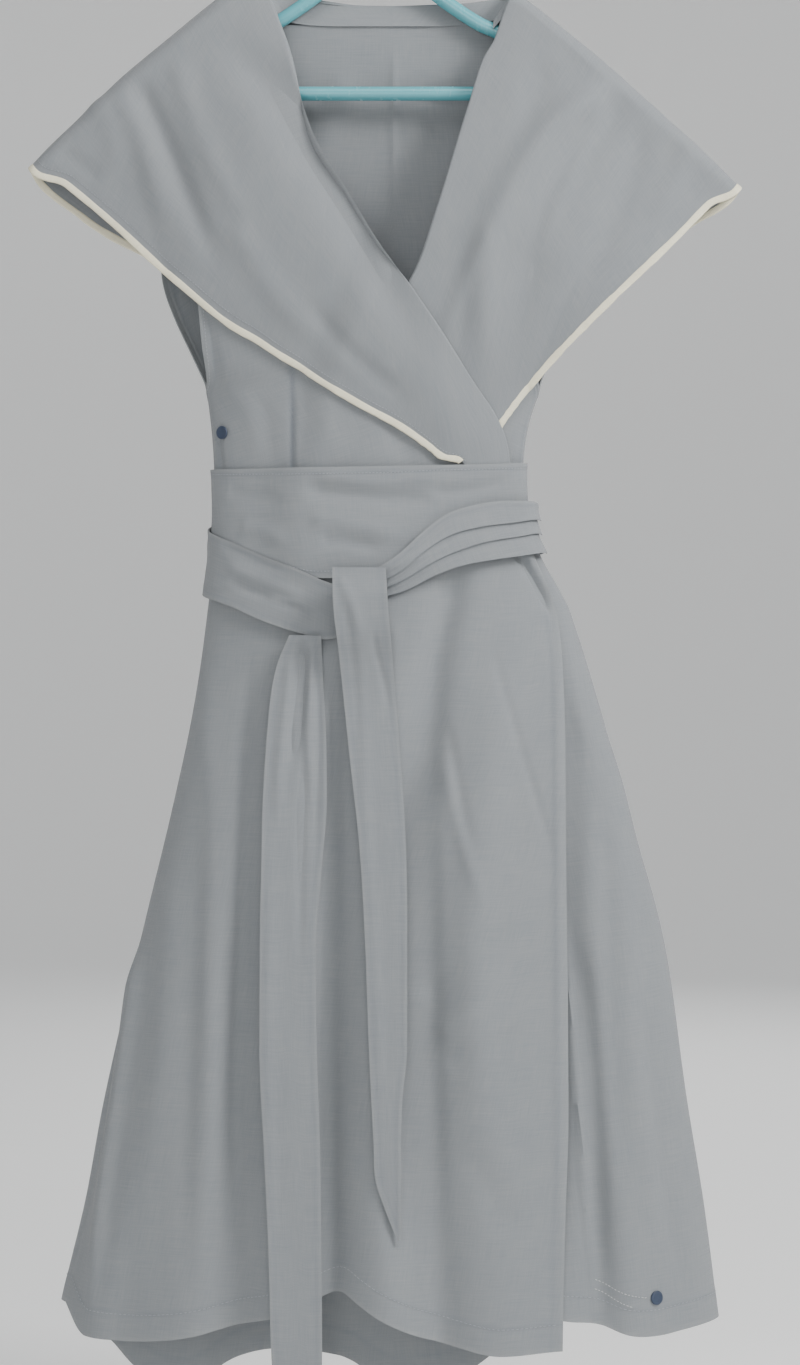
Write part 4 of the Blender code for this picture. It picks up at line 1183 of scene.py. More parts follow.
@dataclass
class Stitching:
    """Rows of small stitches laid along paths by one Geometry Nodes tree."""

    pitch: float = 3.0
    share: float = 0.72
    thick: float = 0.42
    seed: int = 7

    def __post_init__(self) -> None:
        """Build the tree once."""
        self.tree = self.make_tree()

    def make_tree(self) -> bpy.types.NodeTree:
        """Tree that puts a stitch at every pitch along a line of edges.

        Returns:
            The tree.
        """
        tree = bpy.data.node_groups.new("stitch_row", "GeometryNodeTree")
        face = tree.interface
        face.new_socket("Geometry", in_out="INPUT", socket_type="NodeSocketGeometry")
        for name in ("Pitch", "Stitch length", "Thread thickness"):
            face.new_socket(name, in_out="INPUT", socket_type="NodeSocketFloat")
        face.new_socket("Seed", in_out="INPUT", socket_type="NodeSocketInt")
        face.new_socket("Thread", in_out="INPUT", socket_type="NodeSocketMaterial")
        face.new_socket("Geometry", in_out="OUTPUT", socket_type="NodeSocketGeometry")
        add, link = tree.nodes.new, tree.links.new
        given, result = add("NodeGroupInput"), add("NodeGroupOutput")
        line = add("GeometryNodeMeshToCurve")
        resample = add("GeometryNodeResampleCurve")
        if hasattr(resample, "mode"):
            resample.mode = "LENGTH"
        else:
            resample.inputs["Mode"].default_value = "Length"
        link(given.outputs["Geometry"], line.inputs["Mesh"])
        link(line.outputs["Curve"], resample.inputs["Curve"])
        link(given.outputs["Pitch"], resample.inputs["Length"])
        ball = add("GeometryNodeMeshUVSphere")
        ball.inputs["Segments"].default_value = 6
        ball.inputs["Rings"].default_value = 4
        ball.inputs["Radius"].default_value = 0.5
        tangent = add("GeometryNodeInputTangent")
        turn = add("FunctionNodeAlignRotationToVector")
        turn.axis = "Z"
        link(tangent.outputs["Tangent"], turn.inputs["Vector"])
        size = add("ShaderNodeCombineXYZ")
        link(given.outputs["Thread thickness"], size.inputs["X"])
        link(given.outputs["Thread thickness"], size.inputs["Y"])
        link(given.outputs["Stitch length"], size.inputs["Z"])
        uneven = add("FunctionNodeRandomValue")
        uneven.data_type = "FLOAT"
        floats = [socket for socket in uneven.inputs if socket.type == "VALUE"]
        floats[0].default_value = 0.85
        floats[1].default_value = 1.1
        link(given.outputs["Seed"], uneven.inputs["Seed"])
        scaled = add("ShaderNodeVectorMath")
        scaled.operation = "SCALE"
        link(size.outputs["Vector"], scaled.inputs["Vector"])
        spread = [socket for socket in uneven.outputs if socket.type == "VALUE"][0]
        link(spread, scaled.inputs["Scale"])
        lay = add("GeometryNodeInstanceOnPoints")
        link(resample.outputs["Curve"], lay.inputs["Points"])
        link(ball.outputs["Mesh"], lay.inputs["Instance"])
        link(turn.outputs["Rotation"], lay.inputs["Rotation"])
        link(scaled.outputs["Vector"], lay.inputs["Scale"])
        real = add("GeometryNodeRealizeInstances")
        dress = add("GeometryNodeSetMaterial")
        link(lay.outputs["Instances"], real.inputs["Geometry"])
        link(real.outputs["Geometry"], dress.inputs["Geometry"])
        link(given.outputs["Thread"], dress.inputs["Material"])
        link(dress.outputs["Geometry"], result.inputs["Geometry"])
        return tree

    def rows(self, name: str, paths: Sequence[np.ndarray], thread: bpy.types.Material,
             pitch: float | None = None) -> bpy.types.Object:
        """Sew stitches along paths.

        Args:
            name: Name of the piece.
            paths: Lines of points in millimetres, on the cloth's outer face.
            thread: Finish of the thread.
            pitch: Distance between stitches, or None for the usual one.

        Returns:
            One plain mesh of all the stitches.
        """
        points, edges, start = [], [], 0
        for path in paths:
            points.append(path)
            edges += [(start + k, start + k + 1) for k in range(len(path) - 1)]
            start += len(path)
        line = bpy.data.meshes.new(name)
        line.from_pydata((np.concatenate(points) * MM).tolist(), edges, [])
        guide = add_object(name + "_guide", line)
        sewing = guide.modifiers.new("stitches", "NODES")
        sewing.node_group = self.tree
        step = pitch or self.pitch
        values = {"Pitch": step * MM, "Stitch length": step * self.share * MM,
                  "Thread thickness": self.thick * MM, "Seed": self.seed, "Thread": thread}
        for item in self.tree.interface.items_tree:
            if item.in_out == "INPUT" and item.name in values:
                sewing[item.identifier] = values[item.name]
        graph = bpy.context.evaluated_depsgraph_get()
        plain = bpy.data.meshes.new_from_object(guide.evaluated_get(graph), depsgraph=graph)
        plain.name = name
        bpy.data.objects.remove(guide, do_unlink=True)
        plain.shade_smooth()
        made = add_object(name, plain)
        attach(made, "root")
        LOG.info("%s: %d faces", name, len(plain.polygons))
        return made


@dataclass
class Shop:
    """What every sub-assembly needs: the finishes and the sewing."""

    finish: Finishes
    sewing: Stitching


@dataclass
class Bodice:
    """Two crossing fronts and two backs from the shoulders to the waist seam."""

    shop: Shop
    across: int = 122
    down: int = 84
    margin: float = WRAP_MARGIN
    neck: float = 153.0
    shoulder_rows: int = 14
    shoulder_share: float = 0.05

    @staticmethod
    def free(drop: np.ndarray, column: str) -> np.ndarray:
        """Angle left free beside the side seam."""
        hole = BODY_FORM.hole_front if column == "front" else BODY_FORM.hole_back
        return np.radians(hole(drop))

    def over_angle(self, u: np.ndarray, drop: np.ndarray) -> np.ndarray:
        """From the left side seam or armhole to the left neck edge.

        Args:
            u: Shares across the piece, from 0 to 1.
            drop: Drops.

        Returns:
            The angles in radians.
        """
        side = PI + self.free(drop, "front")
        edge = BODY_FORM.front_angle(BODY_FORM.wrap_left(drop) - self.margin, drop)
        return side + (edge - side) * u

    def under_angle(self, u: np.ndarray, drop: np.ndarray) -> np.ndarray:
        """From the right neck edge to the right side seam or armhole.

        Args:
            u: Shares across the piece, from 0 to 1.
            drop: Drops.

        Returns:
            The angles in radians.
        """
        side = 2 * PI - self.free(drop, "front")
        edge = BODY_FORM.front_angle(BODY_FORM.wrap_right(drop) + self.margin, drop)
        return edge + (side - edge) * u

    def back_left_angle(self, u: np.ndarray, drop: np.ndarray) -> np.ndarray:
        """From the centre back seam to the left side seam or armhole.

        Args:
            u: Shares across the piece, from 0 to 1.
            drop: Drops.

        Returns:
            The angles in radians.
        """
        side = PI - self.free(drop, "back")
        middle = 2 * PI - BODY_FORM.front_angle(CENTRE_BACK, drop)
        return middle + (side - middle) * u

    def back_right_angle(self, u: np.ndarray, drop: np.ndarray) -> np.ndarray:
        """From the right side seam or armhole to the centre back seam.

        Args:
            u: Shares across the piece, from 0 to 1.
            drop: Drops.

        Returns:
            The angles in radians.
        """
        side = self.free(drop, "back")
        middle = 2 * PI - BODY_FORM.front_angle(CENTRE_BACK, drop)
        return side + (middle - side) * u

    @staticmethod
    def panel(angle_at: Surface, top: tuple[float, float], lift: Surface,
              neck: float | None = None) -> Surface:
        """Surface of a panel that hangs from the shoulder.

        Args:
            angle_at: Angle for u and a drop.
            top: Rough drops of the shoulder at both ends of u.
            lift: Layer distance for x and a drop.
            neck: Drop of a level neck seam, or None.

        Returns:
            The panel's surface over u and v from 0 to 1.
        """
        def surface(u: np.ndarray, v: np.ndarray) -> np.ndarray:
            """Point of the panel.

            Args:
                u: Shares across the piece, from 0 to 1.
                v: Shares down the piece, from 0 to 1.

            Returns:
                The points in millimetres.
            """
            guess = top[0] + (top[1] - top[0]) * u
            guess = guess + (WAIST_SEAM - guess) * v
            angle = angle_at(u, guess)
            start = 0.25
            if neck is not None:
                fall = soft_max(neck - BODY_FORM.top(angle), 0.03, 1.2)
                start = BODY_FORM.run_for(fall, BODY_FOLD)
            end = BODY_FORM.run_for(WAIST_SEAM - BODY_FORM.top(angle), BODY_FOLD)
            run = start + (end - start) * v
            return BODY_FORM.lifted(angle, run, lift(BODY_FORM.x(angle, guess), guess))
        return surface

    def rows(self) -> np.ndarray:
        """Rows closer together over the shoulder."""
        near = np.linspace(0, self.shoulder_share, self.shoulder_rows)
        return np.concatenate([near[:-1], np.linspace(self.shoulder_share, 1, self.down)])

    def build(self) -> list[bpy.types.Object]:
        """Make the four panels with their sewing.

        Returns:
            The panels.
        """
        fronts = Relief((
            Crease(-72, 400, -72, 590, 2.0, -1.5), Crease(-70, 452, -69, 548, 4, 0.8),
            Crease(-136, 505, -133, 546, 3, -2.2), Crease(-120, 470, -98, 536, 8, 0.9),
            Crease(-150, 400, -128, 500, 6, -1.4), Crease(-100, 480, -84, 545, 7, -0.8),
            Crease(-55, 470, -20, 545, 10, 0.9), Crease(10, 490, 30, 548, 9, -1.0),
        ), 0.7, 34, 90, 2.0)
        backs = Relief((
            Crease(-74, 400, -70, 560, 2.2, -1.1), Crease(72, 400, 68, 560, 2.2, -1.1),
            Crease(-30, 190, -60, 330, 14, -2.4), Crease(40, 200, 76, 350, 13, 2.0),
            Crease(-110, 420, -70, 520, 9, 1.6), Crease(104, 430, 66, 530, 10, -1.6),
            Crease(16, 170, 14, 350, 4, -1.2), Crease(-40, 420, -10, 545, 12, 1.6),
        ), 0.7, 38, 100, 3.0)
        us, rows = np.linspace(0, 1, self.across), self.rows()
        hem_start, hem_end = (Hem("start", 7.0),), (Hem("end", 7.0),)
        lift = BODY_FORM.over_lift
        over = Cloth("bodice_over", self.panel(self.over_angle, (183, 147), lift), us, rows,
                     ("bodice_front_over",), (0.28, 0.42), 0.085, Hold.DRAPED, ("hanger",), fronts,
                     ("start",), hem_start)
        under = Cloth("bodice_under", self.panel(self.under_angle, (153, 183), flat_layer), us,
                      rows, ("bodice_front_under",), (0.28, 0.42), 0.06, Hold.DRAPED, ("hanger",),
                      fronts, ("end",), hem_end)
        left_form = self.panel(self.back_left_angle, (self.neck, 183), flat_layer, self.neck)
        left = Cloth("back_panel_left", left_form, us, rows, ("bodice_back_left",), (0.26, 0.42),
                     0.08, Hold.DRAPED, ("hanger",), backs, ("end",), hem_end)
        right_form = self.panel(self.back_right_angle, (183, self.neck), flat_layer, self.neck)
        right = Cloth("back_panel_right", right_form, us, rows, ("bodice_back_right",),
                      (0.26, 0.42), 0.075, Hold.DRAPED, ("hanger",), backs, ("start",), hem_start)
        hole, v = np.linspace(0.06, 0.72, 110), np.linspace(0.03, 0.995, 160)
        over.trims.append(self.shop.sewing.rows("bodice_stitches", [
            over.line(0.035, hole, 1.1), under.line(0.965, hole, 1.1), left.line(0.965, hole, 1.1),
            right.line(0.035, hole, 1.1), left.line(0.02, v, 0.6), right.line(0.98, v, 0.6),
        ], self.shop.finish.tone_thread))
        return [piece.build(self.shop.finish.cloth) for piece in (over, under, left, right)]


@dataclass
class Collar:
    """One side of the cape collar: its fall with a small roll, its stand and its binding."""

    shop: Shop
    side: Side
    rib_step: float = 0.05
    across: int = 54
    stand_ribs: float = 6.9
    lap: float = 1.3
    belly: float = 6.0
    right_share: float = 0.6
    binding_width: float = 6.0
    binding_depth: float = 1.9
    binding_end: float = 15.25
    binding_sides: int = 16

    def __post_init__(self) -> None:
        """Work out the ribs' lengths of cloth."""
        runs = []
        for rib in COLLAR_RIBS[self.side]:
            ends = []
            for x, drop in ((rib.roll_x, rib.roll_drop), (rib.edge_x, rib.edge_drop)):
                fall = max(drop - float(BODY_FORM.ridge(x)), 0.0)
                ends.append(rib.side * float(BODY_FORM.run_for(fall, COLLAR_FOLD)))
            runs.append(rib._replace(roll_drop=ends[0], edge_drop=ends[1]))
        self.roll_x = curve(runs, None, "roll_x")
        self.edge_x = curve(runs, None, "edge_x")
        self.roll_run = curve(runs, None, "roll_drop")
        self.edge_run = curve(runs, None, "edge_drop")
        feet = COLLAR_FEET[self.side]
        self.foot_x = curve(feet, None, "x")
        self.foot_y = curve(feet, None, "y")
        self.foot_drop = curve(feet, None, "drop")

    def lift(self, rib: np.ndarray, x: np.ndarray, run: np.ndarray,
             across: np.ndarray) -> np.ndarray:
        """Layer distance and the soft belly of the fall.

        Args:
            rib: Rib numbers, from the centre back seam.
            x: Sideways places.
            run: Lengths of cloth from the ridge.
            across: Shares from the neck fold to the edge.

        Returns:
            The distances from the tent.
        """
        ends = smooth(rib / 2.0 + 0.4) * smooth((LAST_RIB - rib) / 3.0)
        belly = self.belly * ends * np.sin(np.clip(across, 0, 1) * PI)
        if self.side is Side.RIGHT:
            return belly * self.right_share * smooth((11 - rib) / 4)
        drop = BODY_FORM.ridge(x) + np.abs(run)
        return belly + BODY_FORM.over_lift(x, drop) * smooth((rib - SHOULDER_RIB) / 3.0)

    def place(self, rib: np.ndarray, across: np.ndarray) -> tuple[np.ndarray, np.ndarray]:
        """Sideways place and length of cloth of a point of the fall.

        Args:
            rib: Rib numbers, from the centre back seam.
            across: Shares from the neck fold to the edge.

        Returns:
            The sideways places, and the lengths of cloth from the ridge.
        """
        x = self.roll_x(rib) + (self.edge_x(rib) - self.roll_x(rib)) * across
        run = self.roll_run(rib) + (self.edge_run(rib) - self.roll_run(rib)) * across
        return x, run

    def normal(self, rib: np.ndarray, across: np.ndarray) -> np.ndarray:
        """Outward normal of the tent at a place of the fall."""
        x, run = self.place(rib, across)
        return outward(BODY_FORM.tent, x, run, 0.5, 0.5)

    def fall(self, rib: np.ndarray, across: np.ndarray) -> np.ndarray:
        """Point of the fall, from the neck fold at 0 to the edge at 1.

        Args:
            rib: Rib numbers, from the centre back seam.
            across: Shares from the neck fold to the edge.

        Returns:
            The points in millimetres.
        """
        x, run = self.place(rib, across)
        lift = self.lift(rib, x, run, across)
        return BODY_FORM.tent(x, run) + outward(BODY_FORM.tent, x, run, 0.5, 0.5) * lift[..., None]

    def rib_at(self, u: np.ndarray) -> np.ndarray:
        """Rib number for u from 0 to 1, from the centre back seam."""
        return LAST_RIB * u

    def surface(self, u: np.ndarray, v: np.ndarray) -> np.ndarray:
        """Whole collar: it turns round the neck fold and then falls.

        Args:
            u: Shares from the centre back seam to the front end.
            v: Shares from inside the neck fold to the outer edge.

        Returns:
            The points in millimetres.
        """
        rib = self.rib_at(u)
        across = np.maximum((v - ROLL_SHARE) / (1 - ROLL_SHARE), 0)
        flat = self.fall(rib, across)
        start = self.fall(rib, 0 * across)
        ahead = unit(start - self.fall(rib, 0 * across + 0.02))
        normal = self.normal(rib, 0 * across)
        turn = (PI * np.clip(1 - v / ROLL_SHARE, -0.05, 1.05))[..., None]
        rolled = (start - normal * ROLL_RADIUS * (1 - np.cos(turn))
                  + ahead * ROLL_RADIUS * np.sin(turn))
        return np.where((v < ROLL_SHARE)[..., None], rolled, flat)

    def stand(self, u: np.ndarray, v: np.ndarray) -> np.ndarray:
        """Inner neck band, from below the neck fold down to the neck seam.

        Args:
            u: Shares from the centre back seam to the front end.
            v: Shares from the neck fold to the neck seam.

        Returns:
            The points in millimetres.
        """
        rib = self.rib_at(u * self.stand_ribs / LAST_RIB)
        inner = (2 * ROLL_RADIUS + 2.4 * smooth((rib - 2.5) / 2))[..., None]
        top = self.fall(rib, 0 * rib) - self.normal(rib, 0 * rib) * inner
        foot_y = self.foot_y(rib)
        foot = np.stack([self.foot_x(rib), foot_y - self.lap * smooth(foot_y / 5),
                         -self.foot_drop(rib) - 2 * self.lap], axis=-1)
        return top + (foot - top) * v[..., None]

    def binding(self) -> bpy.types.Object:
        """Cream strip folded round the outer edge, with its inner lip.

        Returns:
            The strip.
        """
        rib = self.rib_at(self.columns())
        rib = rib[rib < self.binding_end]
        one = 0 * rib + 1.0
        edge = self.fall(rib, one)
        ahead = unit(self.fall(rib + 0.02, one) - self.fall(rib - 0.02, one))
        normal = self.normal(rib, one)
        out = unit(np.cross(ahead, normal))
        inner = self.fall(rib, one - 0.04) - edge
        out *= np.where(np.sum(out * inner, axis=-1) > 0, -1.0, 1.0)[:, None]
        sides = self.binding_sides
        turns = round_turns(sides)
        wide = np.sign(np.cos(turns)) * np.abs(np.cos(turns)) ** 0.6 * self.binding_width / 2
        high = np.sign(np.sin(turns)) * np.abs(np.sin(turns)) ** 0.8 * self.binding_depth / 2
        wave = 0.18 * lattice_noise(rib * 5.0, 0 * rib, 5.0)[:, None]
        centre = edge + out * (self.binding_width / 2 - 1.6)
        rings = (centre[:, None] + out[:, None] * (wide * (1 + wave))[..., None]
                 + normal[:, None] * (high * (1 - wave))[..., None])
        cap_a = np.repeat(centre[:1, None], sides, axis=1)
        cap_b = np.repeat(centre[-1:, None], sides, axis=1)
        points = np.concatenate([cap_a, rings, cap_b]).reshape(-1, 3)
        count = len(points) // sides
        quads = outward_quads(points, tube_quads(count, sides))
        along = np.concatenate([[0], np.cumsum(np.linalg.norm(np.diff(edge, axis=0), axis=1))])
        along = np.concatenate([along[:1], along, along[-1:]])
        uv = np.stack(np.broadcast_arrays(along[:, None], turns[None, :] * 2.0), axis=-1)
        made = write_mesh(f"binding_{self.side.word}", points, quads, uv.reshape(-1, 2) * MM)
        made.data.materials.append(self.shop.finish.binding)
        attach(made, "root")
        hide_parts(f"piping_{self.side.word}")
        LOG.info("%s: %d faces, %.2f m long", made.name, len(quads), along[-1] * MM)
        return made

    def columns(self) -> np.ndarray:
        """Ribs of the grid, closer together round the tip at the shoulder.

        Returns:
            Shares from the centre back seam to the front end.
        """
        step = self.rib_step
        near = SHOULDER_RIB + 0.62 * np.linspace(-1, 1, 34) ** 3
        ribs = np.concatenate([np.arange(0, SHOULDER_RIB - 0.63, step), near,
                               np.arange(SHOULDER_RIB + 0.67, LAST_RIB, step), [LAST_RIB]])
        return ribs / LAST_RIB

    def relief(self) -> Relief:
        """Creases of the fall as the cloth hangs from the hanger's ends."""
        if self.side is Side.LEFT:
            return Relief((
                Crease(-208, 196, -126, 380, 9, -5.0, -5), Crease(-226, 212, -164, 350, 10, 2.8),
                Crease(-180, 180, -108, 345, 11, 2.8), Crease(-138, 160, 70, 486, 18, -7.0, 7),
                Crease(-92, 150, 84, 476, 11, 3.4, 4), Crease(-240, 215, -222, 292, 10, 1.8),
                Crease(-130, 330, -40, 446, 12, 2.6), Crease(-272, 262, -236, 300, 7, -1.6),
                Crease(-60, 400, 30, 496, 8, -2.0),
            ), 1.1, 46, 90, 4.0)
        return Relief((
            Crease(210, 196, 88, 486, 16, -8.5, -44), Crease(222, 200, 112, 462, 13, 3.6, -16),
            Crease(196, 216, 132, 380, 8, -3.2), Crease(232, 240, 176, 404, 11, 2.4),
            Crease(150, 180, 84, 350, 12, 2.2), Crease(270, 252, 236, 338, 9, -1.8),
            Crease(96, 330, 52, 452, 8, -2.4),
        ), 1.1, 44, 90, 6.0)

    def build(self) -> list[bpy.types.Object]:
        """Make the fall, its stand and its binding, with the stitches beside the strip.

        Returns:
            The fall and the stand.
        """
        word = self.side.word
        rows = np.concatenate([np.linspace(0, ROLL_SHARE, 9)[:-1],
                               np.linspace(ROLL_SHARE, 1, self.across)])
        fall = Cloth(f"collar_fall_{word}", self.surface, self.columns(), rows, (f"collar_{word}",),
                     (0.95, 0.30), 0.16, Hold.DRAPED, ("hanger", "bodice_over"), self.relief(),
                     ("start", "bottom"))
        u = np.linspace(0.003, self.binding_end / LAST_RIB, 420)
        fall.trims.append(self.binding())
        fall.trims.append(self.shop.sewing.rows(
            f"collar_stitches_{word}", [fall.line(u, 1 - 0.026 - 0.03 * u ** 4, 0.6)],
            self.shop.finish.tone_thread))
        band = Cloth(f"neckband_{word}", self.stand, np.linspace(0, 1, 110), np.linspace(0, 1, 16),
                     (f"collar_stand_{word}",), NECKBAND_FLAT[self.side], None, Hold.FOLDED, (),
                     Relief(ripple=0.25, across=20, along=30, seed=8))
        return [piece.build(self.shop.finish.cloth) for piece in (fall, band)]


@dataclass
class Skirt:
    """Over and under fronts and two backs, flared from the waist seam to the hem."""

    shop: Shop
    bodice: Bodice
    down: int = 158
    hem_width: float = 22.0

    @staticmethod
    def over_angle(u: np.ndarray, drop: np.ndarray) -> np.ndarray:
        """From the left side seam to the free edge."""
        edge = BODY_FORM.front_angle(OVER_FREE(drop), drop)
        return PI + (edge - PI) * u

    @staticmethod
    def under_angle(u: np.ndarray, drop: np.ndarray) -> np.ndarray:
        """From the hidden edge near the middle to the right side seam."""
        edge = BODY_FORM.front_angle(UNDER_EDGE, drop)
        return edge + (2 * PI - edge) * u

    def under_share(self, x: np.ndarray, drop: np.ndarray) -> np.ndarray:
        """Share across the under panel at a place of its front."""
        first, last = self.under_angle(0 * x, drop), self.under_angle(0 * x + 1, drop)
        return (BODY_FORM.front_angle(x, drop) - first) / (last - first)

    @staticmethod
    def down_share(drop: np.ndarray) -> np.ndarray:
        """Share down the under panel near its hem."""
        return (drop - WAIST_SEAM) / (UNDER_HEM_DROP - WAIST_SEAM)

    @staticmethod
    def panel(angle_at: Surface, hem_rows: Sequence[Place], lift: Surface) -> Surface:
        """Surface of a skirt panel down to its own hem line.

        Args:
            angle_at: Angle for u and a drop.
            hem_rows: Table of the hem line.
            lift: Layer distance for x and a drop.

        Returns:
            The panel's surface over u and v from 0 to 1.
        """
        hem = curve(hem_rows, "x", "drop")

        def surface(u: np.ndarray, v: np.ndarray) -> np.ndarray:
            """Point of the panel.

            Args:
                u: Shares across the piece, from 0 to 1.
                v: Shares down the piece, from 0 to 1.

            Returns:
                The points in millimetres.
            """
            low = hem(BODY_FORM.x(angle_at(u, np.full(np.shape(u), LOW_DROP)), LOW_DROP))
            drop = WAIST_SEAM + (low - WAIST_SEAM) * v
            angle = angle_at(u, drop)
            return BODY_FORM.at(angle, drop, lift(BODY_FORM.x(angle, drop), drop))
        return surface

    def build(self) -> list[bpy.types.Object]:
        """Make the four panels, with their hems sewn.

        Returns:
            The panels.
        """
        front = Relief((
            Crease(38, 995, 120, 918, 10, -2.6), Crease(48, 1022, 118, 965, 9, 2.0),
            Crease(58, 1052, 126, 1006, 9, -1.6), Crease(-140, 690, -150, 1270, 12, 3.0),
            Crease(-112, 690, -118, 1270, 9, -5.5), Crease(-206, 930, -247, 1300, 7, 6.5),
            Crease(-226, 960, -268, 1300, 12, -4.5), Crease(-36, 680, -40, 1290, 8, -6.0),
            Crease(152, 640, 157, 1292, 4, 1.6), Crease(-176, 860, -200, 1290, 14, 2.6),
            Crease(-60, 620, -74, 900, 8, 1.8), Crease(72, 610, 30, 850, 14, -8.0),
            Crease(96, 690, 84, 1150, 20, 4.0), Crease(28, 740, 24, 1290, 15, -11.0),
            Crease(-20, 640, 24, 700, 7, 1.4), Crease(70, 1120, 128, 1190, 14, -1.6),
            Crease(98, 690, 156, 900, 4, -1.5), Crease(113, 602, 155, 672, 3.0, -4.6),
            Crease(122, 600, 158, 664, 3.6, 3.4), Crease(134, 602, 153, 648, 2.8, -3.4),
            Crease(60, 760, 60, 1250, 9, 1.8), Crease(-150, 760, -160, 1280, 10, -2.0),
            Crease(52, 780, 96, 930, 6, 1.8), Crease(58, 756, 84, 880, 4, -1.4),
        ), 1.2, 52, 170, 9.0)
        valleys = tuple(crease for crease in front.creases
                        if crease.height < -2.5 and crease.width > 6 and crease.x1 < 150)
        side = Relief(valleys + (
            Crease(160, 900, 187, 1290, 2.6, 2.6), Crease(170, 930, 199, 1290, 9, -5.0),
            Crease(158, 680, 163, 1300, 16, -11.0), Crease(204, 740, 240, 1290, 16, 4.0),
            Crease(222, 980, 266, 1280, 9, -2.4), Crease(160, 640, 182, 800, 7, 2.0),
            Crease(190, 820, 214, 1180, 9, -2.2),
        ), 1.1, 46, 150, 10.0)
        backs = Relief((
            Crease(-60, 640, -96, 1300, 12, 2.4), Crease(-100, 700, -170, 1320, 9, -2.6),
            Crease(-22, 640, -36, 1100, 10, -2.0), Crease(44, 640, 72, 1320, 12, 2.6),
            Crease(80, 690, 130, 1290, 8, -2.4), Crease(128, 760, 214, 1260, 12, 2.2),
            Crease(-140, 880, -230, 1290, 12, 2.0), Crease(10, 800, 24, 1330, 9, -2.2),
            Crease(-30, 980, 60, 1060, 16, -1.4), Crease(16, 590, 15, 860, 5, -1.2),
        ), 1.0, 50, 160, 11.0)
        hem = Hem("bottom", self.hem_width)
        rows, us = np.linspace(0, 1, self.down), np.linspace(0, 1, 120)
        over = Cloth("skirt_over", self.panel(self.over_angle, OVER_HEM, BODY_FORM.skirt_lift),
                     np.linspace(0, 1, 170) ** 1.08, rows, ("skirt_front_over",), (0.52, 0.73),
                     0.28, Hold.HUNG, ("bodice_over",), front, ("start",), (hem, Hem("end", 9.0)))
        under = Cloth("skirt_under", self.panel(self.under_angle, UNDER_HEM, flat_layer), us,
                      rows, ("skirt_front_under",), (0.36, 0.73), 0.19, Hold.HUNG,
                      ("bodice_under",), side, ("end",), (hem,))
        left_form = self.panel(self.bodice.back_left_angle, BACK_HEM, flat_layer)
        left = Cloth("skirt_rear_left", left_form, us, rows, ("skirt_back_left",), (0.37, 0.78),
                     0.18, Hold.HUNG, ("back_panel_left",), backs, ("end",), (hem,))
        right_form = self.panel(self.bodice.back_right_angle, BACK_HEM, flat_layer)
        right = Cloth("skirt_rear_right", right_form, us, rows, ("skirt_back_right",),
                      (0.37, 0.78), 0.175, Hold.HUNG, ("back_panel_right",), backs, ("start",),
                      (hem,))
        u, v = np.linspace(0.01, 0.985, 420), np.linspace(0.05, 0.995, 300)
        hem_v = 1 - self.hem_width / 700
        over.trims.append(self.shop.sewing.rows("skirt_hem_stitches", [
            over.line(u, hem_v, 0.9), under.line(u, hem_v, 0.9), left.line(u, hem_v, 0.9),
            right.line(u, hem_v, 0.9), left.line(0.012, v, 0.6), right.line(0.988, v, 0.6),
        ], self.shop.finish.tone_thread, 4.0))
        drop = np.linspace(1238, 1243, 50)
        rows_of_thread = []
        for first, last, lower in ((187, 227, 0.0), (186, 214, 8.0)):
            across = self.under_share(np.linspace(first, last, 50), drop)
            rows_of_thread.append(under.line(across, self.down_share(drop + lower), 1.2))
        under.trims.append(self.shop.sewing.rows("under_hem_white_stitches", rows_of_thread,
                                                 self.shop.finish.white_thread, 3.0))
        return [piece.build(self.shop.finish.cloth) for piece in (over, under, left, right)]


def flat_layer(x: np.ndarray, drop: np.ndarray) -> np.ndarray:
    """A layer that is the body's surface itself."""
    return np.zeros(np.broadcast(x, drop).shape)


OVER_FREE = curve(OVER_EDGE, "drop", "x")


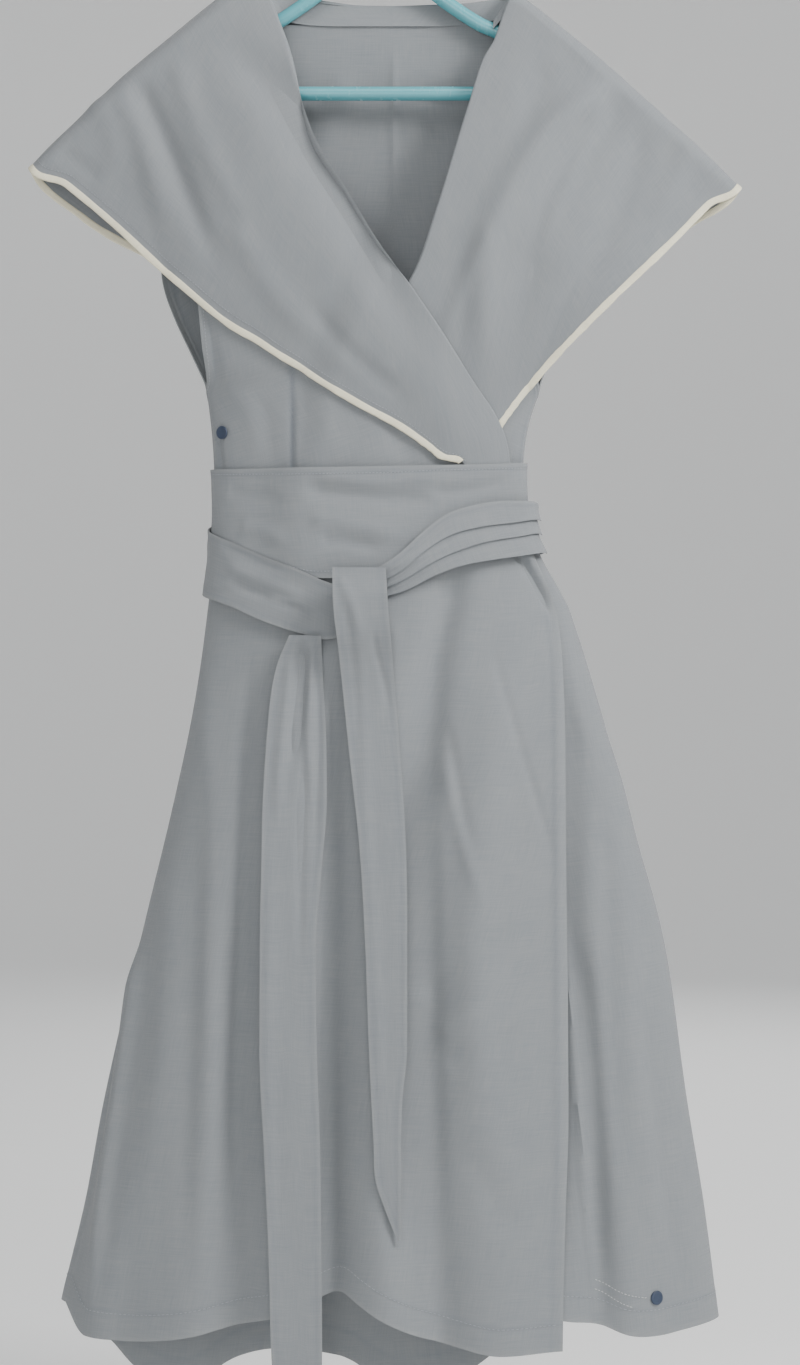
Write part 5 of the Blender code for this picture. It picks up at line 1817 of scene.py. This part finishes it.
@dataclass
class Sash:
    """Wide wrap round the waist, the ties that cross it, the knot and the hanging ends."""

    shop: Shop
    knot_rings: int = 48
    knot_sides: int = 72

    @staticmethod
    def band(rows: Sequence[Band], step: float) -> Surface:
        """Surface of a stretch of sash whose edges and lift are in a table.

        Args:
            rows: Table of the stretch.
            step: Distance between two layers.

        Returns:
            The stretch's surface over u and v from 0 to 1.
        """
        top, bottom = curve(rows, "angle", "top"), curve(rows, "angle", "bottom")
        out = curve(rows, "angle", "lift")
        first, span = rows[0].angle, rows[-1].angle - rows[0].angle

        def surface(u: np.ndarray, v: np.ndarray) -> np.ndarray:
            """Point of the band.

            Args:
                u: Shares across the piece, from 0 to 1.
                v: Shares down the piece, from 0 to 1.

            Returns:
                The points in millimetres.
            """
            degrees = first + span * u
            angle = np.radians(degrees)
            drop = top(degrees) + (bottom(degrees) - top(degrees)) * v
            return BODY_FORM.at(angle, drop, BODY_FORM.band_lift(angle, drop) + step * out(degrees))
        return surface

    @staticmethod
    def knot_front() -> float:
        """How far forward the knot reaches."""
        x, drop = KNOT_CENTRE
        return float(BODY_FORM.front_y(np.array(x), np.array(drop))) - 2 * KNOT_SIZE[1] - 1.4

    def tail(self, rows: Sequence[Tail], over_knot: bool) -> Surface:
        """Surface of a hanging end that rests on the ridges behind it.

        Args:
            rows: Table of the end.
            over_knot: Whether it starts in front of the knot.

        Returns:
            The end's surface over u and v from 0 to 1.
        """
        left, right = curve(rows, "drop", "left"), curve(rows, "drop", "right")
        first, last = rows[0].drop, rows[-1].drop
        front = self.knot_front() - 2.0

        def surface(u: np.ndarray, v: np.ndarray) -> np.ndarray:
            """Point of the end.

            Args:
                u: Shares across the piece, from 0 to 1.
                v: Shares down the piece, from 0 to 1.

            Returns:
                The points in millimetres.
            """
            drop = first + (last - first) * v
            width = right(drop) - left(drop)
            reach = np.min([BODY_FORM.front_y(left(drop) + width * part, drop)
                            for part in (0.0, 0.25, 0.5, 0.75, 1.0)], axis=0) - TAIL_GAP
            if over_knot:
                below = smooth((drop - KNOT_CENTRE[1] - 4) / 90)
                share = np.maximum(below, smooth((KNOT_CENTRE[1] - drop + 2) / 26) * 0.35)
                reach = reach * share + front * (1 - share)
            return np.stack([left(drop) + width * u, reach, -drop], axis=-1)
        return surface

    def knot(self) -> bpy.types.Object:
        """Lump of tied cloth with the turns of the strip over it.

        Returns:
            The lump.
        """
        rings, sides = self.knot_rings, self.knot_sides
        tilt, turn = np.meshgrid(np.linspace(0, PI, rings), round_turns(sides), indexing="ij")
        x0, drop0 = KNOT_CENTRE
        y0 = self.knot_front() + KNOT_SIZE[1]
        shape = np.stack([np.sin(tilt) * np.cos(turn), np.sin(tilt) * np.sin(turn),
                          np.cos(tilt)], axis=-1)
        slant = shape[..., 0] * 1.1 + shape[..., 2] * 2.2
        turns = 1 + 0.06 * np.cos(slant * 6.0) + 0.03 * np.cos(slant * 11 + 1)
        points = shape * np.array(KNOT_SIZE) * np.minimum(turns, 1.05)[..., None]
        points = (points + np.array([x0, y0, -drop0])).reshape(-1, 3)
        quads = outward_quads(points, tube_quads(rings, sides))
        uv = np.stack([turn * 22, tilt * 20], axis=-1).reshape(-1, 2) * MM
        made = write_mesh("sash_knot_cloth", points, quads, uv, np.zeros(len(points)))
        made.data.materials.append(self.shop.finish.cloth)
        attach(made, "root")
        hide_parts("sash_knot")
        return made

    def build(self) -> list[bpy.types.Object]:
        """Make the wraps, ties, knot and ends.

        Returns:
            Every piece of the sash.
        """
        finish = self.shop.finish.cloth
        bands = {name: self.band(rows, 0.0 if "wrap" in name else TIE_STEP)
                 for name, rows in SASH_BANDS.items()}
        waist = Relief((
            Crease(-66, 559, 62, 577, 7.5, -3.6, 2), Crease(-50, 605, 10, 606, 6, -2.2),
            Crease(-60, 548, 84, 552, 6, 1.6), Crease(-62, 588, 30, 592, 8, 2.0),
            Crease(-128, 556, -76, 572, 7, -1.6), Crease(46, 566, 122, 548, 6, -1.8),
            Crease(-120, 590, -70, 604, 7, 1.5),
        ), 1.0, 60, 16, 12.0)
        pull = Relief((
            Crease(-134, 618, -44, 664, 6, 1.8), Crease(-128, 634, -40, 674, 4.5, -1.8),
            Crease(-96, 648, -38, 668, 3.5, 1.6), Crease(-136, 604, -70, 632, 5, -1.2),
        ), 0.8, 50, 14, 13.0)
        strand = Relief((Crease(-6, 634, 132, 588, 3.2, 0.9),), 0.45, 46, 12, 14.0)
        edge = (Hem("top", 3.0, 0.2), Hem("bottom", 3.0, 0.2))
        long = np.linspace(0, 1, 150)
        made = [self.knot()]
        wrap = Cloth("sash_wrap_front_cloth", bands["sash_wrap_front"],
                     (1 - np.cos(np.linspace(0, PI, 190))) / 2, np.linspace(0, 1, 38),
                     ("sash_wrap_front",), (0.33, 0.076), None, Hold.GATHERED,
                     ("bodice_over", "skirt_over"), waist, ("start", "end"), edge)
        u = np.linspace(0.01, 0.99, 200)
        wrap.trims.append(self.shop.sewing.rows(
            "sash_stitches", [wrap.line(u, 0.06, 0.8), wrap.line(u, 0.94, 0.8)],
            self.shop.finish.tone_thread))
        made.append(wrap.build(finish))
        made.append(Cloth("sash_wrap_back_cloth", bands["sash_wrap_back"],
                          (1 - np.cos(np.linspace(0, PI, 160))) / 2, np.linspace(0, 1, 34),
                          ("sash_wrap_back",), (0.31, 0.076), None, Hold.GATHERED,
                          ("back_panel_left", "back_panel_right"), waist, ("start", "end"),
                          edge).build(finish))
        made.append(Cloth("sash_tie", bands["sash_tie_left"], np.linspace(0, 1, 130),
                          np.linspace(0, 1, 34), ("sash_tie_left",), (0.20, 0.06), None,
                          Hold.GATHERED, ("sash_wrap_front_cloth",), pull, (), edge).build(finish))
        for word in ("low", "middle", "top"):
            made.append(Cloth(f"sash_pleat_{word}", bands[f"sash_strand_{word}"],
                              np.sin(long * PI / 2), np.linspace(0, 1, 16),
                              (f"sash_strand_{word}",), (0.175, 0.017), None, Hold.GATHERED,
                              ("sash_wrap_front_cloth",), strand, (),
                              (Hem("top", 2.4, 0.15),)).build(finish))
        centre = Relief((
            Crease(-16, 640, 8, 1160, 6, 0.8), Crease(-26, 650, -12, 800, 4, -0.9),
            Crease(-2, 680, 12, 760, 3, -1.1), Crease(-32, 632, -10, 690, 5, 1.4),
        ), 0.5, 18, 120, 15.0)
        side = Relief((
            Crease(-63, 684, -70, 800, 4.5, -4.2), Crease(-54, 686, -58, 830, 4, 2.4),
            Crease(-74, 690, -84, 860, 5, 2.2), Crease(-60, 780, -66, 980, 4, -1.4),
            Crease(-92, 860, -86, 1320, 6, 1.2), Crease(-50, 700, -50, 900, 3, -1.4),
        ), 0.5, 18, 120, 16.0)
        made.append(Cloth("sash_end_centre", self.tail(TAIL_CENTRE, True), np.linspace(0, 1, 26),
                          np.linspace(0, 1, 240) ** 1.1, ("sash_tail_centre",), (0.046, 0.58), None,
                          Hold.HUNG, ("sash_knot_cloth",), centre, (),
                          (Hem("start", 3.0, 0.2), Hem("end", 3.0, 0.2))).build(finish))
        made.append(Cloth("sash_end_left", self.tail(TAIL_LEFT, False), np.linspace(0, 1, 28),
                          np.linspace(0, 1, 240), ("sash_tail_left",), (0.052, 0.67), None,
                          Hold.HUNG, ("sash_knot_cloth",), side, (),
                          (Hem("start", 3.0, 0.2), Hem("end", 3.0, 0.2))).build(finish))
        return made


@dataclass
class Hanger:
    """Moulded tube: a hook on its stem, two arms in one run and a bar with turned ends."""

    shop: Shop
    tube: float = 6.0
    hook_tube: float = 5.0
    hook_radius: float = 27.0
    top: float = 112.0
    reach: float = 188.0
    bar: float = 214.5
    end_turn: float = 8.25
    arm_end: float = 66.0
    joint: float = 1.1
    sides: int = 22

    def run(self, knots: Sequence[tuple[float, float]], radius: float,
            count: int) -> tuple[np.ndarray, np.ndarray]:
        """Corners and faces of a round tube through knots in the plane of the hanger.

        Args:
            knots: Places, as x and z, that the tube's middle goes through.
            radius: Radius of the tube.
            count: Number of rings.

        Returns:
            The corners and the faces.
        """
        rows = [Place(x, -z) for x, z in knots]
        where = np.linspace(0, len(rows) - 1, count)
        path = np.stack([curve(rows, None, "x")(where), 0 * where,
                         -curve(rows, None, "drop")(where)], axis=-1)
        ahead = unit(np.gradient(path, axis=0))
        side = np.cross(ahead, (0.0, 1.0, 0.0))
        turns = round_turns(self.sides)
        ends = np.concatenate([[0.0, 0.86], np.ones(count - 2), [0.86, 0.0]])
        spine = np.concatenate([path[:1], path, path[-1:]])
        across = np.concatenate([side[:1], side, side[-1:]])
        ring = (np.cos(turns)[None, :, None] * across[:, None]
                + np.sin(turns)[None, :, None] * np.array([0.0, 1.0, 0.0]))
        seam = 1 + 0.025 * np.exp(-(np.sin(turns) / 0.06) ** 2)
        size = radius * ends[:, None] * seam[None, :]
        points = (spine[:, None] + ring * size[..., None]).reshape(-1, 3)
        return points, outward_quads(points, tube_quads(count + 2, self.sides))

    def build(self) -> bpy.types.Object:
        """Make the three runs as one moulding.

        Returns:
            The moulding.
        """
        foot = self.top - self.tube
        hook = [(self.hook_radius * math.cos(turn), -22 + self.hook_radius * math.sin(turn))
                for turn in (math.radians(degrees) for degrees in range(205, -50, -15))]
        hook += [(9, -54), (1.5, -66), (0, -80), (0, -foot - 3)]
        lean = math.radians(self.arm_end)
        end_x = self.reach + self.end_turn * math.cos(lean) - self.joint * math.sin(lean) * 0.3
        end_z = (self.end_turn * (1 + math.sin(lean)) + self.joint * math.cos(lean) * 0.3
                 - self.bar)
        half = [(24, -114.5), (44, -124), (62, -137), (86, -152.8), (106, -162), (end_x, end_z)]
        arms = [(-x, z) for x, z in reversed(half)] + [(0, -self.top)] + half
        bar = [(self.reach + self.end_turn * math.cos(bend),
                -self.bar + self.end_turn * (1 + math.sin(bend)))
               for bend in np.radians(np.linspace(self.arm_end, -90, 11))] + [(60.0, -self.bar)]
        low = bar + [(-x, z) for x, z in reversed(bar)]
        groups, quads, start = [], [], 0
        for knots, radius, count in ((hook, self.hook_tube, 150), (arms, self.tube, 200),
                                     (low, self.tube, 200)):
            points, faces = self.run(knots, radius, count)
            groups.append(points)
            quads.append(faces + start)
            start += len(points)
        made = write_mesh("hanger", np.concatenate(groups), np.concatenate(quads))
        made.data.materials.append(self.shop.finish.plastic)
        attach(made, "root")
        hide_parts("hanger_hook", "hanger_arms", "hanger_bar")
        LOG.info("hanger: %d faces", start)
        return made


@dataclass
class Dot:
    """Small round navy disc on the cloth."""

    shop: Shop
    node: str
    angle: float
    drop: float
    radius: float
    inner: float = 0.9
    thick: float = 1.8
    sides: int = 40

    def build(self) -> bpy.types.Object:
        """Make the disc with a rolled rim and a shallow dish.

        Returns:
            The disc.
        """
        angle, drop = np.array(math.radians(self.angle)), np.array(self.drop)
        base = BODY_FORM.at(angle, drop, np.array(self.inner))
        out = BODY_FORM.at(angle, drop, np.array(self.inner + 1.0)) - base
        across = unit(np.cross(out, (0.0, 0.0, 1.0)))
        up = np.cross(out, across)
        profile = [(0.0, 0.0), (0.92, 0.0), (1.0, 0.35), (0.99, 0.7), (0.93, 0.93), (0.86, 1.0),
                   (0.78, 0.95), (0.68, 0.80), (0.45, 0.72), (0.0, 0.70)]
        turns = round_turns(self.sides)
        spoke = np.cos(turns)[:, None] * across + np.sin(turns)[:, None] * up
        points = np.concatenate([base + out * self.thick * high + spoke * self.radius * share
                                 for share, high in profile])
        quads = outward_quads(points, tube_quads(len(profile), self.sides))
        made = write_mesh(self.node + "_disc", points, quads)
        made.data.materials.append(self.shop.finish.navy)
        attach(made, "root")
        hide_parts(self.node)
        return made


@dataclass
class Studio:
    """Pale floor that rises all round the dress, soft lights and the camera."""

    floor: float = -1.42
    wall: float = 9.0
    turn: float = 3.0
    height: float = 7.0
    sides: int = 96
    sensor: float = 36.0
    aim: tuple[float, float] = (0.020, -0.724)
    far: float = 2.4
    tall: float = 1.181

    def build(self) -> None:
        """Make the stage, the lights and the camera."""
        bend = np.linspace(0, PI / 2, 16)
        reach = np.concatenate([[0.0], self.wall - self.turn + self.turn * np.sin(bend),
                                [self.wall]])
        rise = self.floor + np.concatenate([[0.0], self.turn - self.turn * np.cos(bend),
                                            [self.height]])
        around = round_turns(self.sides)
        points = np.stack([reach[:, None] * np.cos(around), reach[:, None] * np.sin(around),
                           rise[:, None] + 0 * around], axis=-1).reshape(-1, 3) / MM
        quads = tube_quads(len(reach), self.sides)[:, ::-1]
        floor = write_mesh("pale_floor", points, quads)
        graph = Graph("pale_paper")
        floor.data.materials.append(graph.surface({
            "Base Color": (0.86, 0.86, 0.85, 1), "Roughness": 0.9,
            "Emission Color": (0.98, 0.99, 1.0, 1), "Emission Strength": 0.22,
        }))
        self.light("key", (1.9, -1.25, 0.95), (0.9, 0.9), 84)
        self.light("fill", (-0.5, -3.4, -0.5), (1.2, 1.2), 26)
        self.light("top", (0.2, -1.2, 1.2), (1.1, 0.8), 16)
        self.light("back", (0.8, 3.2, 0.7), (1.6, 1.4), 34)
        world = bpy.data.worlds.new("soft_room")
        world.use_nodes = True
        world.node_tree.nodes["Background"].inputs["Color"].default_value = (0.92, 0.95, 1.0, 1)
        world.node_tree.nodes["Background"].inputs["Strength"].default_value = 0.16
        bpy.context.scene.world = world
        camera = bpy.data.cameras.new("camera")
        camera.sensor_fit = "VERTICAL"
        camera.sensor_height = self.sensor
        camera.lens = self.sensor * self.far / self.tall
        holder = add_object("camera", camera)
        holder.location = (self.aim[0], -self.far, self.aim[1])
        holder.rotation_euler = (PI / 2, 0, 0)
        bpy.context.scene.camera = holder

    def light(self, name: str, place: tuple[float, float, float], size: tuple[float, float],
              power: float) -> None:
        """Add a soft rectangular light that faces the dress.

        Args:
            name: Name of the light.
            place: Where it stands, in metres.
            size: Its sides in metres.
            power: Its power in watts.
        """
        lamp = bpy.data.lights.new(name, "AREA")
        lamp.shape = "RECTANGLE"
        lamp.size, lamp.size_y = size
        lamp.energy = power
        holder = add_object(name, lamp)
        holder.location = place
        aim = np.array([0.0, 0.0, -0.65]) - np.array(place)
        flat = math.hypot(aim[0], aim[1])
        holder.rotation_euler = (PI / 2 + math.atan2(aim[2], flat), 0, math.atan2(-aim[0], aim[1]))


def main() -> None:
    """Build the dress, its hanger and the studio."""
    shop = Shop(Finishes(), Stitching())
    bodice = Bodice(shop)
    Hanger(shop).build()
    bodice.build()
    for side in Side:
        Collar(shop, side).build()
    Skirt(shop, bodice).build()
    Sash(shop).build()
    Dot(shop, "dot_bodice", 201.8, 509, 5.7).build()
    Dot(shop, "dot_hem", 323.6, 1246, 6.0).build()
    Studio().build()
    LOG.info("all pieces are made")


if __name__ == "__main__":
    main()
